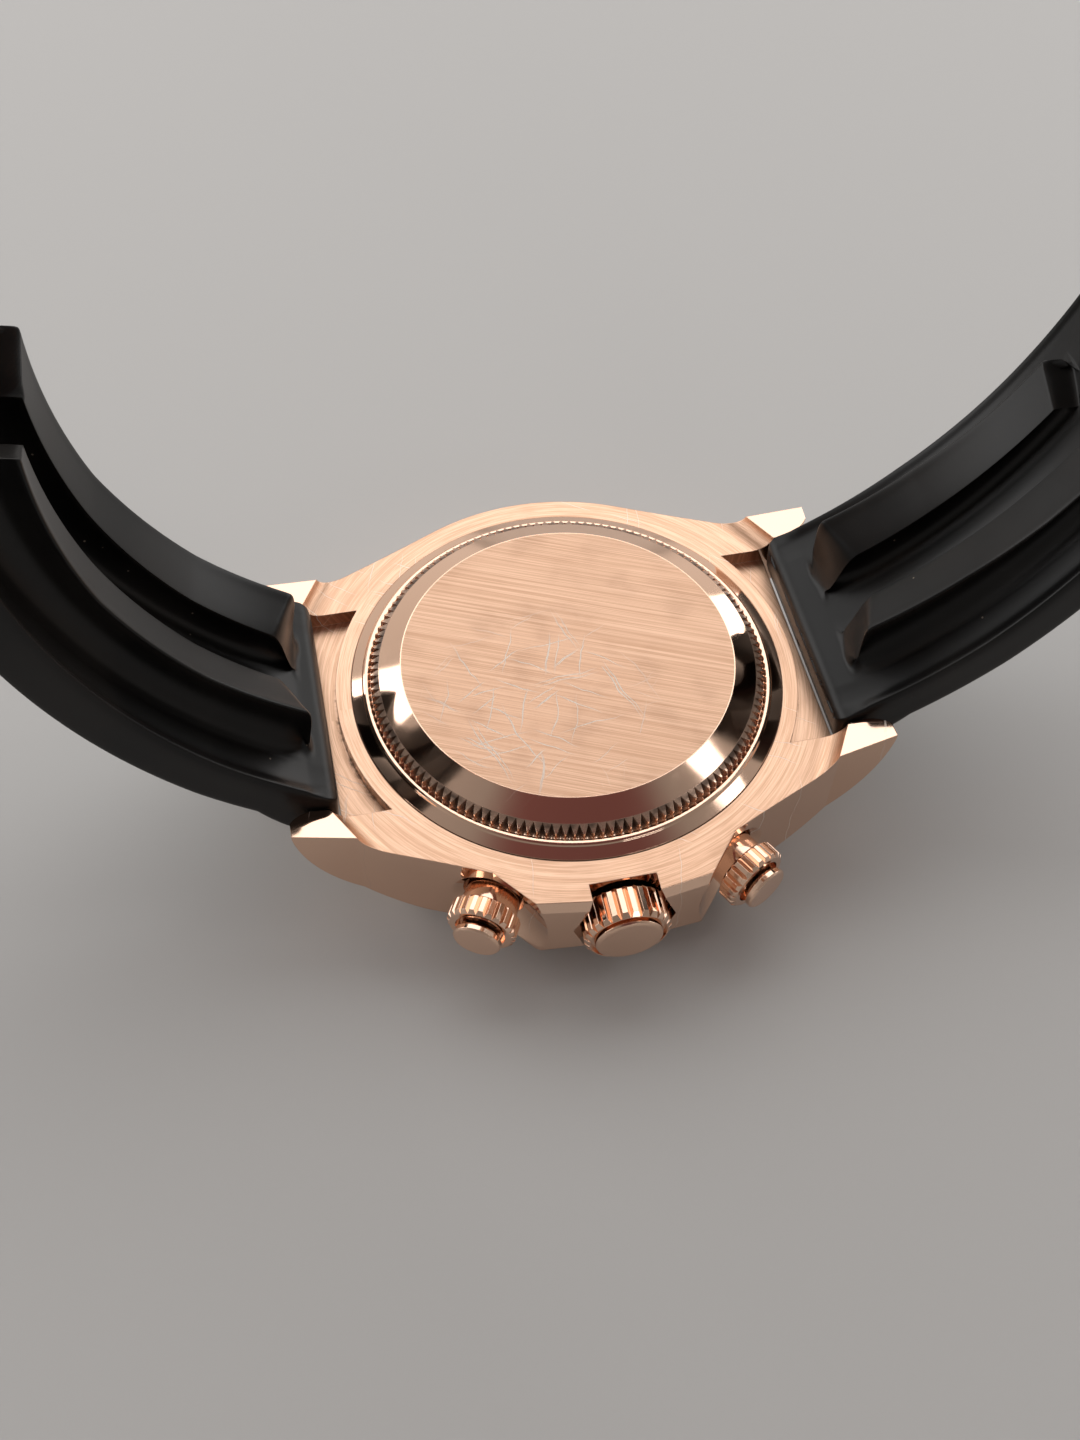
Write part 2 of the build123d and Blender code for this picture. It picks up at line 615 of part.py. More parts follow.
with BuildPart() as bridge_screws:
    for places, shank, head in ((PILLARS, 0.45, 0.75), (BALANCE_PILLARS, 0.4, 0.65)):
        with BuildSketch(Plane.XY.offset(BRIDGE_Z[1] - 0.35)):
            with Locations(*places):
                Circle(head)
        extrude(amount=0.3)
        with BuildSketch(Plane.XY.offset(BRIDGE_Z[1] - 0.35)):
            with Locations(*places):
                Circle(shank)
        extrude(amount=-1.8)
        with BuildSketch(Plane.XY.offset(BRIDGE_Z[1] - 0.05)):
            with Locations(*places):
                Rectangle(2 * head, 0.2)
        extrude(amount=-0.15, mode=Mode.SUBTRACT)
save(bridge_screws.part, "bridge_screws")

with BuildPart() as bridge_jewels:
    with BuildSketch(Plane.XY.offset(BRIDGE_Z[0] + 0.1)):
        with Locations(THIRD, ESCAPE, SUB_DIALS["running_seconds"], BALANCE):
            Circle(0.55)
            Circle(0.2, mode=Mode.SUBTRACT)
    extrude(amount=0.5)
save(bridge_jewels.part, "bridge_jewels")


def wheel(centre, z, thickness, teeth, outer, hub, spokes, arbors):
    """Toothed wheel with spokes; arbors are (radius, low, high) shafts on its axis."""
    rim = outer - 0.55
    with BuildPart() as piece:
        with BuildSketch(Plane.XY.offset(z)):
            with Locations(centre):
                Polygon(*fluted_points(outer, outer - 0.22, teeth, 0.4), align=None)
                Circle(rim, mode=Mode.SUBTRACT)
                with PolarLocations(0, spokes):
                    with Locations(((rim + hub) / 2, 0)):
                        Rectangle(rim - hub + 0.4, 0.3)
                Circle(hub)
        extrude(amount=thickness)
        for radius, low, high in arbors:
            with BuildSketch(Plane.XY.offset(low)):
                with Locations(centre):
                    Circle(radius)
            extrude(amount=high - low)
    return piece.part


with BuildPart() as centre_wheel:
    add(wheel((0, 0), 5.6, 0.15, 48, 4.0, 1.0, 4, []))
    with BuildSketch(Plane.XY.offset(5)):
        Circle(0.7)
    extrude(amount=2, mode=Mode.SUBTRACT)
save(centre_wheel.part, "centre_wheel")
save(wheel(THIRD, 6.55, 0.15, 44, 3.7, 0.7, 4, [(0.58, 5.45, 6.55), (0.15, 5.0, 8.2)]), "third_wheel")
with BuildPart() as fourth_wheel:
    add(wheel(SUB_DIALS["running_seconds"], 7.1, 0.15, 36, 2.5, 0.62, 4, [(0.62, 6.3, 7.1)]))
    with Locations((*SUB_DIALS["running_seconds"], 8)):
        Hole(0.3)
save(fourth_wheel.part, "fourth_wheel")
save(wheel(ESCAPE, 6.2, 0.12, 20, 1.8, 0.45, 4, [(0.33, 6.9, 7.5), (0.12, 5.0, 8.2)]), "escape_wheel")

lever_turn = degrees(atan2(BALANCE[1] - PALLET[1], BALANCE[0] - PALLET[0]))
with BuildPart() as pallet_fork:
    with BuildSketch(Plane(origin=(*PALLET, 6.15), x_dir=(*polar(1, lever_turn), 0), z_dir=(0, 0, 1))):
        with BuildLine():
            Polyline((-0.3, 1.15), (0.25, 1.2), (0.35, 0.3), (1.9, 0.16), (2.5, 0.35), (2.5, -0.35), (1.9, -0.16),
                     (0.35, -0.3), (0.25, -1.2), (-0.3, -1.15), (-0.2, 0), close=True)
        make_face()
    extrude(amount=0.15)
    with BuildSketch(Plane.XY.offset(5.0)):
        with Locations(PALLET):
            Circle(0.12)
    extrude(amount=2.2)
save(pallet_fork.part, "pallet_fork")

with BuildPart() as balance_wheel:
    with BuildSketch(Plane.XY.offset(7.0)):
        with Locations(BALANCE):
            Circle(2.9)
            Circle(2.5, mode=Mode.SUBTRACT)
            Rectangle(5.2, 0.5)
            Rectangle(0.5, 5.2)
            Circle(0.55)
    extrude(amount=0.35)
    for radius, low, high in ((0.12, 5.0, 8.2), (0.45, 6.1, 7.0)):
        with BuildSketch(Plane.XY.offset(low)):
            with Locations(BALANCE):
                Circle(radius)
        extrude(amount=high - low)
save(balance_wheel.part, "balance_wheel")

def spiral(centre, z, height, inner, pitch, turns, strip):
    """Flat spiral spring: a strip that moves out by one pitch each turn."""
    steps = int(turns * 24)
    edge = [polar(inner + pitch * step / 24, 15 * step) for step in range(steps + 1)]
    back = [polar(inner + strip + pitch * step / 24, 15 * step) for step in range(steps, -1, -1)]
    with BuildPart() as piece:
        with BuildSketch(Plane.XY.offset(z)):
            with Locations(centre):
                Polygon(*edge, *back, align=None)
        extrude(amount=height)
    return piece.part


save(spiral(BALANCE, 7.45, 0.3, 0.3, 0.22, 7, 0.05), "hairspring")

with BuildPart() as barrel:
    add(wheel(BARREL, 7.0, 0.3, 60, 5.2, 1.0, 3, []))
    with BuildSketch(Plane.XY.offset(6.0)):
        with Locations(BARREL):
            Circle(4.9)
            Circle(0.78, mode=Mode.SUBTRACT)
    extrude(amount=1.85)
    with BuildSketch(Plane.XY.offset(6.2)):
        with Locations(BARREL):
            Circle(4.6)
            Circle(1.3, mode=Mode.SUBTRACT)
    extrude(amount=1.45, mode=Mode.SUBTRACT)
    with Locations((*BARREL, 8)):
        Hole(0.78)
save(barrel.part, "barrel")

save(spiral(BARREL, 6.3, 1.25, 1.6, 0.33, 8.5, 0.12), "mainspring")

with BuildPart() as barrel_arbor:
    with BuildSketch(Plane.XY.offset(4.2)):
        with Locations(BARREL):
            Circle(0.72)
    extrude(amount=3.75)
save(barrel_arbor.part, "barrel_arbor")

with BuildPart() as rotor_bearing:
    with BuildSketch(Plane.XY.offset(BRIDGE_Z[1])):
        Circle(0.9)
    extrude(amount=0.45)
    with BuildSketch(Plane.XY.offset(BRIDGE_Z[1] + 0.45)):
        Circle(1.95)
    extrude(amount=0.6)
    with BuildSketch(Plane.XY.offset(BRIDGE_Z[1] + 1.05)):
        Circle(1.1)
        Rectangle(1.8, 0.25, mode=Mode.SUBTRACT)
    extrude(amount=0.35)
save(rotor_bearing.part, "rotor_bearing")

with BuildPart() as rotor:
    for inner, z, thickness in ((0, 9.3, 0.4), (11.6, 8.95, 1.5)):
        with BuildSketch(Plane.XY.offset(z)):
            Circle(14.2)
            if inner:
                Circle(inner, mode=Mode.SUBTRACT)
            with Locations((0, 15)):
                Rectangle(40, 30, mode=Mode.SUBTRACT)
            if not inner:
                Circle(3.0)
                with PolarLocations(7.2, 3, start_angle=-140, angular_range=100, endpoint=True):
                    SlotOverall(4.6, 2.2, rotation=90, mode=Mode.SUBTRACT)
        extrude(amount=thickness)
    with Locations((0, 0, 10)):
        Hole(1.95 + FIT)
save(rotor.part, "rotor")

# ================================================================ crown and pushers
def turned(direction, points):
    """Turned part about a horizontal axis at stem height, from (distance, radius) points."""
    with BuildPart() as piece:
        with BuildSketch(side_plane(direction)):
            with BuildLine():
                Polyline(*points, close=True)
            make_face()
        revolve(axis=Axis((0, 0, STEM_Z), direction))
    return piece.part


def knurled(direction, span, points, fluting, bores, raised):
    """Turned part whose outside is cut by flutes over a span; raised is a smooth turned profile beside them."""
    with BuildPart() as piece:
        with BuildSketch(end_plane(direction, span[0])):
            Polygon(*fluted_points(*fluting), align=None)
        extrude(amount=span[1] - span[0])
        with BuildSketch(side_plane(direction)):
            with BuildLine():
                Polyline(*points, close=True)
            make_face()
        revolve(axis=Axis((0, 0, STEM_Z), direction), mode=Mode.INTERSECT)
        add(turned(direction, raised))
        for radius, start, depth in bores:
            with BuildSketch(end_plane(direction, start)):
                Circle(radius)
            extrude(amount=depth, mode=Mode.SUBTRACT)
    return piece.part


save(turned(CROWN_DIR, [(15.1, 0.5 + FIT), (15.1, 1.25), (20.6, 1.25), (20.6, 0.5 + FIT)]), "crown_tube")
save(turned(CROWN_DIR, [(9.4, 0), (9.4, 0.5), (21.7, 0.5), (21.7, 0)]), "winding_stem")
save(turned(CROWN_DIR, [(20.15, 1.25 + FIT), (20.15, 1.7), (20.55, 1.7), (20.55, 1.25 + FIT)]), "crown_gasket")
crown = knurled(
    CROWN_DIR, (19.75, 22.45),
    [(19.75, 0), (19.75, CROWN_R - 0.3), (20.05, CROWN_R), (22.1, CROWN_R), (22.45, 3.08), (22.45, 3.0),
     (22.1, 2.9), (22.1, 0)],
    (CROWN_R, CROWN_R - 0.42, CROWN_FLUTES, 0.5),
    [(1.7, 19, 2.1), (0.5 + FIT, 20, 1.8)],
    [(21.5, 0), (21.5, 2.65), (22.6, 2.65), (22.74, 2.57), (22.8, 2.35), (22.8, 0)])
save(crown, "crown")
for name, direction in PUSHER_DIRS.items():
    save(turned(direction, [(15.1, 0.45 + FIT), (15.1, 1.1), (20.6, 1.1), (20.6, 0.45 + FIT)]),
         f"{name}_pusher_tube")
    collar = knurled(
        direction, (20.9, 22.6),
        [(20.9, 0), (20.9, 2.45), (21.1, COLLAR_R), (22.35, COLLAR_R), (22.6, COLLAR_R - 0.3), (22.6, 0)],
        (COLLAR_R, COLLAR_R - 0.3, COLLAR_FLUTES, 0.5),
        [(1.1 + FIT, 18, 5), (2.0, 21.7, 2)],
        [(18.7, 0), (18.7, 2.0), (18.9, 2.2), (21.0, 2.2), (21.0, 0)])
    save(collar, f"{name}_pusher_collar")
    save(turned(direction, [(14.6, 0), (14.6, 0.45), (22.55, 0.45), (22.55, 1.55), (22.95, 1.6), (22.95, 1.8),
                            (23.1, 1.9), (BUTTON_END - 0.15, 1.9), (BUTTON_END, 1.75), (BUTTON_END, 0)]),
         f"{name}_pusher_button")

# ================================================================ strap
def strap_half(path, fin_span, slot):
    """One strap half: tapering flange, rounded head at the lug bar, two fins, and room for blade and bars."""
    side = path["side"]
    length = path_length(path) - NOSE_BACK
    end_bar = clasp_bar(path)
    with BuildPart() as piece:
        with BuildSketch(VIEW):
            with BuildLine():
                band_edges(path, 0, length, (0, STRAP_T))
            make_face()
            with Locations(end_bar):
                Circle(STRAP_T / 2)
            with BuildLine():
                head_x, head_z = path["start"]
                Polyline((side * head_x, head_z), (side * head_x, BAR_Z - 1.2), (side * (BAR_X - 1.0), BAR_Z - 1.9),
                         (side * (BAR_X + 1.2), BAR_Z - 1.3), offset_point(path, 4.5, STRAP_T),
                         offset_point(path, 4.5, 0), close=True)
            make_face()
        extrude(amount=STRAP_HALF, both=True)
        for fin_side in (-1, 1):
            middle = fin_side * (FIN_Y[0] + FIN_Y[1]) / 2
            with BuildSketch(VIEW.offset(-middle)):
                with BuildLine():
                    band_edges(path, *fin_span, (-FIN_HEIGHT, 0.4))
                make_face()
            extrude(amount=(FIN_Y[1] - FIN_Y[0]) / 2, both=True)
        # the sides draw in from the lugs to the clasp
        for taper_side in (-1, 1):
            with BuildSketch(Plane.YZ):
                with BuildLine():
                    Polyline((taper_side * STRAP_HALF, TAPER_Z[0]), (taper_side * STRAP_END_HALF, TAPER_Z[1]),
                             (taper_side * STRAP_END_HALF, 90), (taper_side * 14, 90),
                             (taper_side * 14, TAPER_Z[0]), close=True)
                make_face()
            extrude(amount=60, both=True, mode=Mode.SUBTRACT)
        # pocket of the moulded-in blade, holes for both bars
        with BuildSketch(VIEW):
            with BuildLine():
                band_edges(path, BLADE_SPAN[0], BLADE_SPAN[1],
                           ((STRAP_T - BLADE_T) / 2 - 0.03, (STRAP_T + BLADE_T) / 2 + 0.03))
            make_face()
        extrude(amount=BLADE_HALF + 0.05, both=True, mode=Mode.SUBTRACT)
        with BuildSketch(VIEW):
            with Locations((side * BAR_X, BAR_Z)):
                Circle(BAR_R + FIT)
            with Locations(end_bar):
                Circle(PIN_R)
        extrude(amount=12, both=True, mode=Mode.SUBTRACT)
        if slot:      # half width of the opening that takes the inner blade's tongue
            with BuildSketch(VIEW):
                with BuildLine():
                    band_edges(path, length - 2.7, length, (-0.2, STRAP_T + 0.2))
                make_face()
                with Locations(end_bar):
                    Circle(STRAP_T / 2 + 0.2)
            extrude(amount=slot, both=True, mode=Mode.SUBTRACT)
    return piece.part


def strap_blade(path):
    """Thin spring blade along the middle of a strap half."""
    with BuildPart() as piece:
        with BuildSketch(VIEW):
            with BuildLine():
                band_edges(path, BLADE_SPAN[0] + 0.1, BLADE_SPAN[1] - 0.1,
                           ((STRAP_T - BLADE_T) / 2, (STRAP_T + BLADE_T) / 2))
            make_face()
        extrude(amount=BLADE_HALF, both=True)
    return piece.part


def cross_pin(centre, radius, half, tip=0.0):
    """Pin along Y, with narrower spring tips when a tip length is given."""
    with BuildPart() as piece:
        with BuildSketch(VIEW):
            with Locations(centre):
                Circle(radius)
        extrude(amount=half, both=True)
        if tip:
            with BuildSketch(VIEW):
                with Locations(centre):
                    Circle(TIP_R)
            extrude(amount=half + tip, both=True)
    return piece.part


save(strap_half(STRAP_12, FIN_12, 0), "strap_12")
save(strap_half(STRAP_6, FIN_6, 2.7), "strap_6")
save(strap_blade(STRAP_12), "strap_12_blade")
save(strap_blade(STRAP_6), "strap_6_blade")
save(cross_pin((-BAR_X, BAR_Z), BAR_R, 9.8, 1.1), "lug_bar_12")
save(cross_pin((BAR_X, BAR_Z), BAR_R, 9.8, 1.1), "lug_bar_6")
save(cross_pin(HINGE_12, PIN_R, 7.9), "clasp_bar_12")
save(cross_pin(HINGE_6, PIN_R, 7.9), "clasp_bar_6")


# ================================================================ clasp
def link_band(span, radii):
    """Outline of a curved link between two lengths along it and two radii."""
    for radius in radii:
        ThreePointArc(*[arc_point(radius, at) for at in (span[0], sum(span) / 2, span[1])])
    for at in span:
        Line(arc_point(radii[0], at), arc_point(radii[1], at))


def wall_planes(plane, low, high):
    """The two planes where a pair of walls starts on each side of the middle, and the walls' thickness."""
    return ((plane.offset(low), high - low), (plane.offset(-high), high - low))


with BuildPart() as clasp_cover:
    with BuildSketch(COVER_PLANE):
        with BuildLine():
            link_band((4.8, COVER_SPAN + 1.6), (CLASP_R + 2.6, CLASP_R + 3.6))
        make_face()
    extrude(amount=COVER_HALF, both=True)
    for plane, thickness in wall_planes(COVER_PLANE, COVER_HALF - WALL_T, COVER_HALF):
        with BuildSketch(plane):
            with BuildLine():
                link_band((-1.5, COVER_SPAN + 1.6), (CLASP_R - 0.6, CLASP_R + 3.6))
            make_face()
        extrude(amount=thickness)
    with BuildSketch(COVER_PLANE):
        with Locations(COVER_FIRST):
            Circle(TIP_R)
        with Locations(COVER_LAST):
            Circle(PIN_R)
    extrude(amount=12, both=True, mode=Mode.SUBTRACT)
    # ears of the safety catch
    for plane, thickness in wall_planes(COVER_PLANE, 5.2, 6.2):
        with BuildSketch(plane):
            with Locations(CATCH_CENTRE):
                Circle(1.1)
                Circle(CATCH_PIN_R, mode=Mode.SUBTRACT)
        extrude(amount=thickness)
    fillet(clasp_cover.edges().filter_by(lambda edge: edge.length > 30).sort_by(
        lambda edge: -abs(edge.center().Y))[:2], 0.3)
save(clasp_cover.part, "clasp_cover")
save(cross_pin(COVER_HINGE, PIN_R, COVER_HALF), "cover_pin")

with BuildPart() as clasp_outer_blade:
    with BuildSketch(OUTER_PLANE):
        with BuildLine():
            link_band((0, OUTER_SPAN), (CLASP_R + 0.1, CLASP_R + 1.1))
        make_face()
    extrude(amount=OUTER_HALF, both=True)
    with BuildSketch(OUTER_PLANE):
        with BuildLine():
            link_band((-2, 1.5), (CLASP_R - 2, CLASP_R + 2))
        make_face()
    extrude(amount=3.25, both=True, mode=Mode.SUBTRACT)
    with BuildSketch(OUTER_PLANE):
        with BuildLine():
            link_band((6, OUTER_SPAN - 6), (CLASP_R - 2, CLASP_R + 2))
        make_face()
    extrude(amount=1.9, both=True, mode=Mode.SUBTRACT)
    for plane, thickness in wall_planes(OUTER_PLANE, 3.25, OUTER_HALF):
        with BuildSketch(plane):
            with Locations(OUTER_FIRST):
                Circle(KNUCKLE_R)
        extrude(amount=thickness)
    with BuildSketch(OUTER_PLANE):
        with Locations(OUTER_LAST):
            Circle(KNUCKLE_R)
    extrude(amount=OUTER_HALF, both=True)
    with BuildSketch(OUTER_PLANE):
        with Locations(OUTER_FIRST):
            Circle(PIN_R)
        with Locations(OUTER_LAST):
            Circle(PIN_R + FIT)
    extrude(amount=12, both=True, mode=Mode.SUBTRACT)
save(clasp_outer_blade.part, "clasp_outer_blade")
save(cross_pin(FOLD_HINGE, PIN_R, OUTER_HALF), "fold_pin")

with BuildPart() as clasp_inner_blade:
    with BuildSketch(INNER_PLANE):
        with BuildLine():
            link_band((0, INNER_SPAN), (CLASP_R - 1.1, CLASP_R - 0.1))
        make_face()
    extrude(amount=INNER_HALF, both=True)
    # room for the fold knuckles at one end and for the strap's cheeks at the other
    for start, span in ((3.05, (-2, 1.5)), (2.5, (INNER_SPAN - 3.4, INNER_SPAN + 2))):
        for plane, thickness in wall_planes(INNER_PLANE, start, 8):
            with BuildSketch(plane):
                with BuildLine():
                    link_band(span, (CLASP_R - 4, CLASP_R + 2))
                make_face()
            extrude(amount=thickness, mode=Mode.SUBTRACT)
    with BuildSketch(INNER_PLANE):
        with Locations(INNER_FIRST):
            Circle(KNUCKLE_R)
    extrude(amount=3.05, both=True)
    with BuildSketch(INNER_PLANE):
        with Locations(INNER_LAST):
            Circle(KNUCKLE_R + 0.1)
        with BuildLine():
            link_band((INNER_SPAN - 2.5, INNER_SPAN), (CLASP_R - 1.8, CLASP_R - 0.1))
        make_face()
    extrude(amount=2.5, both=True)
    with BuildSketch(INNER_PLANE):
        with Locations(INNER_FIRST, INNER_LAST):
            Circle(PIN_R + FIT)
    extrude(amount=12, both=True, mode=Mode.SUBTRACT)
save(clasp_inner_blade.part, "clasp_inner_blade")

with BuildPart() as safety_catch:
    with BuildSketch(COVER_PLANE):
        with BuildLine():
            link_band((8.0, CATCH_AT[1]), (CLASP_R + 3.75, CLASP_R + CATCH_AT[0]))
        make_face()
        with Locations(CATCH_CENTRE):
            Circle(0.85)
    extrude(amount=5.05, both=True)
    with BuildSketch(COVER_PLANE):
        with Locations(CATCH_CENTRE):
            Circle(CATCH_PIN_R + FIT)
    extrude(amount=12, both=True, mode=Mode.SUBTRACT)
save(safety_catch.part, "safety_catch")
catch_hinge = COVER_PLANE.from_local_coords(Vector(*CATCH_CENTRE))
save(cross_pin((catch_hinge.X, catch_hinge.Z), CATCH_PIN_R, 6.2), "catch_pin")
print(f"catch hinge: x {catch_hinge.X:.4f} z {catch_hinge.Z:.4f}")
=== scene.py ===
import json
from math import cos, pi, radians, sin

import bpy
import numpy as np
from mathutils import Matrix, Vector

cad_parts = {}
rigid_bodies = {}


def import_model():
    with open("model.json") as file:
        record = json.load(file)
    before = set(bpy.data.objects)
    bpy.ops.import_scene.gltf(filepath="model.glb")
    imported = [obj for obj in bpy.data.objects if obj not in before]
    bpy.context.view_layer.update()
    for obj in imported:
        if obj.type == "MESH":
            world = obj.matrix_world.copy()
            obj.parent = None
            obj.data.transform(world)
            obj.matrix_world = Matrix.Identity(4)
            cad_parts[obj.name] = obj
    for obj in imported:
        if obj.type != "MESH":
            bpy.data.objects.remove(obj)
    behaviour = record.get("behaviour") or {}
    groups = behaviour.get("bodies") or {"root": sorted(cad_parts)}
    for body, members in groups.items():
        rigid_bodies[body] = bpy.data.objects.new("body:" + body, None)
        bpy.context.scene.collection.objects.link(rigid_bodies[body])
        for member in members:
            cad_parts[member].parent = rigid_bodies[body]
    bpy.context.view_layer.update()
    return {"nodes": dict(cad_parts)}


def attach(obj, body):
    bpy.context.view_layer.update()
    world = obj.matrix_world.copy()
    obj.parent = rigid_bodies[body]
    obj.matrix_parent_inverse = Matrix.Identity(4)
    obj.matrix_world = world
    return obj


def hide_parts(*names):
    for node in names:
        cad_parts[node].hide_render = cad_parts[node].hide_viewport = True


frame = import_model()
nodes = frame["nodes"]
mm = 0.001
print("frame loaded:", len(nodes), "nodes")

studio = {
    "cameraTarget": (-3.48, -5.73, 12.2),    # mm
    "cameraDistance": 116.6,                 # mm
    "azimuth": -12.78,
    "elevation": 54.39,
    "roll": 1.25,
    "lens": 37.26,
    "floorSize": 4.0,                        # m
    "floorColour": (0.50, 0.495, 0.485, 1),
    "skyStops": [(0.0, (0.74, 0.70, 0.66, 1)), (0.45, (0.58, 0.55, 0.52, 1)), (0.75, (0.46, 0.44, 0.42, 1)),
                 (1.0, (0.36, 0.34, 0.33, 1))],
    "darkPatch": (0, 66, 15, 31),            # azimuth and elevation, and where its soft edge begins and ends
    "darkColour": (0.24, 0.115, 0.115, 1),
    "frontLevel": 0.40,                      # brightness of the sky on the crown's side, 1 at the back
}


# unit vector from the watch towards an azimuth, 0 on the crown's side, and an elevation
def outward(azimuth, elevation):
    azimuth, elevation = radians(azimuth), radians(elevation)
    return Vector((sin(azimuth) * cos(elevation), -cos(azimuth) * cos(elevation), sin(elevation)))


def makeCamera():
    back = outward(studio["azimuth"], studio["elevation"])
    data = bpy.data.cameras.new("camera")
    data.sensor_width = 36
    data.lens = studio["lens"]
    data.clip_start, data.clip_end = 0.005, 20
    camera = bpy.data.objects.new("camera", data)
    camera.location = (Vector(studio["cameraTarget"]) + back * studio["cameraDistance"]) * mm
    turn = (-back).to_track_quat("-Z", "Y").to_matrix() @ Matrix.Rotation(radians(studio["roll"]), 3, "Z")
    camera.rotation_euler = turn.to_euler()
    bpy.context.scene.collection.objects.link(camera)
    bpy.context.scene.camera = camera


def makeFloor():
    half = studio["floorSize"] / 2
    mesh = bpy.data.meshes.new("floor")
    mesh.from_pydata([(-half, -half, 0), (half, -half, 0), (half, half, 0), (-half, half, 0)], [],
                     [(0, 1, 2, 3)])
    floor = bpy.data.objects.new("floor", mesh)
    bpy.context.scene.collection.objects.link(floor)
    material = bpy.data.materials.new("paleFloor")
    material.use_nodes = True
    shader = material.node_tree.nodes["Principled BSDF"]
    shader.inputs["Base Color"].default_value = studio["floorColour"]
    shader.inputs["Roughness"].default_value = 0.6
    mesh.materials.append(material)


def makeSky():
    world = bpy.data.worlds.new("sky")
    world.use_nodes = True
    bpy.context.scene.world = world
    tree = world.node_tree
    place = tree.nodes.new("ShaderNodeTexCoord")
    split = tree.nodes.new("ShaderNodeSeparateXYZ")
    ramp = tree.nodes.new("ShaderNodeValToRGB")
    stops = ramp.color_ramp.elements
    stops[0].position, stops[0].color = studio["skyStops"][0]
    stops[1].position, stops[1].color = studio["skyStops"][-1]
    for position, colour in studio["skyStops"][1:-1]:
        stops.new(position).color = colour
    tree.links.new(place.outputs["Generated"], split.inputs[0])
    tree.links.new(split.outputs["Z"], ramp.inputs[0])
    # a dark patch of ceiling over the front, where nothing lights the gold
    azimuth, elevation, inside, outside = studio["darkPatch"]
    toPatch = tree.nodes.new("ShaderNodeVectorMath")
    toPatch.operation = "DOT_PRODUCT"
    toPatch.inputs[1].default_value = outward(azimuth, elevation)
    share = tree.nodes.new("ShaderNodeMapRange")
    share.interpolation_type = "SMOOTHSTEP"
    share.inputs["From Min"].default_value = cos(radians(outside))
    share.inputs["From Max"].default_value = cos(radians(inside))
    blend = tree.nodes.new("ShaderNodeMix")
    blend.data_type = "RGBA"
    blend.inputs[7].default_value = studio["darkColour"]
    tree.links.new(place.outputs["Generated"], toPatch.inputs[0])
    tree.links.new(toPatch.outputs["Value"], share.inputs["Value"])
    tree.links.new(share.outputs[0], blend.inputs[0])
    tree.links.new(ramp.outputs[0], blend.inputs[6])
    tree.links.new(blend.outputs[2], tree.nodes["Background"].inputs["Color"])
    # the light comes from the back
    level = tree.nodes.new("ShaderNodeMapRange")
    level.interpolation_type = "SMOOTHSTEP"
    for label, value in (("From Min", -0.8), ("From Max", 0.5), ("To Min", studio["frontLevel"])):
        level.inputs[label].default_value = value
    tree.links.new(split.outputs["Y"], level.inputs["Value"])
    tree.links.new(level.outputs[0], tree.nodes["Background"].inputs["Strength"])


lamps = {        # distance and size in m; glow is the brightness of the lamp's face
    "backBox": {"azimuth": 166, "elevation": 49, "distance": 0.60, "size": (0.90, 0.46), "glow": 1.45},
    "leftBox": {"azimuth": -112, "elevation": 24, "distance": 0.60, "size": (0.56, 0.36), "glow": 2.4},
    "rightBox": {"azimuth": 84, "elevation": 50, "distance": 0.60, "size": (0.12, 0.12), "glow": 3.0},
    "lowBox": {"azimuth": 114, "elevation": 13, "distance": 0.60, "size": (0.50, 0.20), "glow": 2.4},
    "frontBox": {"azimuth": 24, "elevation": 28, "distance": 0.70, "size": (0.20, 0.10), "glow": 2.4},
}


def makeLamps():
    for name, lamp in lamps.items():
        data = bpy.data.lights.new(name, "AREA")
        data.shape = "RECTANGLE"
        data.size, data.size_y = lamp["size"]
        data.energy = lamp["glow"] * pi * data.size * data.size_y
        out = outward(lamp["azimuth"], lamp["elevation"])
        piece = bpy.data.objects.new(name, data)
        piece.location = out * lamp["distance"]
        piece.rotation_euler = (-out).to_track_quat("-Z", "Y").to_euler()
        bpy.context.scene.collection.objects.link(piece)


makeCamera()
makeFloor()
makeSky()
makeLamps()
bpy.context.scene.view_settings.view_transform = "Standard"
print("studio ready")


# inputs are values, or output sockets to link
def fill(tree, node, inputs):
    for key, value in inputs.items():
        if isinstance(value, bpy.types.NodeSocket):
            tree.links.new(value, node.inputs[key])
        else:
            node.inputs[key].default_value = value
    return node


def addNode(tree, kind, inputs=None, **settings):
    node = tree.nodes.new(kind)
    for name, value in settings.items():
        setattr(node, name, value)
    return fill(tree, node, inputs or {})


def maths(tree, operation, first, second=0.0):
    return addNode(tree, "ShaderNodeMath", {0: first, 1: second}, operation=operation).outputs[0]


def times(tree, first, second):
    return maths(tree, "MULTIPLY", first, second)


# base + value * share
def addShare(tree, base, value, share):
    return maths(tree, "ADD", base, times(tree, value, share))


# a vector, or the number that a dot product or a length makes
def vectorMaths(tree, operation, first, second=(0, 0, 0)):
    key = "Scale" if operation == "SCALE" else 1
    made = addNode(tree, "ShaderNodeVectorMath", {0: first, key: second}, operation=operation).outputs
    return made["Value" if operation in ("DOT_PRODUCT", "LENGTH") else "Vector"]


# 0 at low to 1 at high, eased, and held outside; low may be above high
def ease(tree, value, low, high):
    return addNode(tree, "ShaderNodeMapRange", {"Value": value, "From Min": low, "From Max": high},
                   interpolation_type="SMOOTHSTEP").outputs[0]


def mixColours(tree, factor, first, second):
    return addNode(tree, "ShaderNodeMix", {0: factor, 6: first, 7: second}, data_type="RGBA").outputs[2]


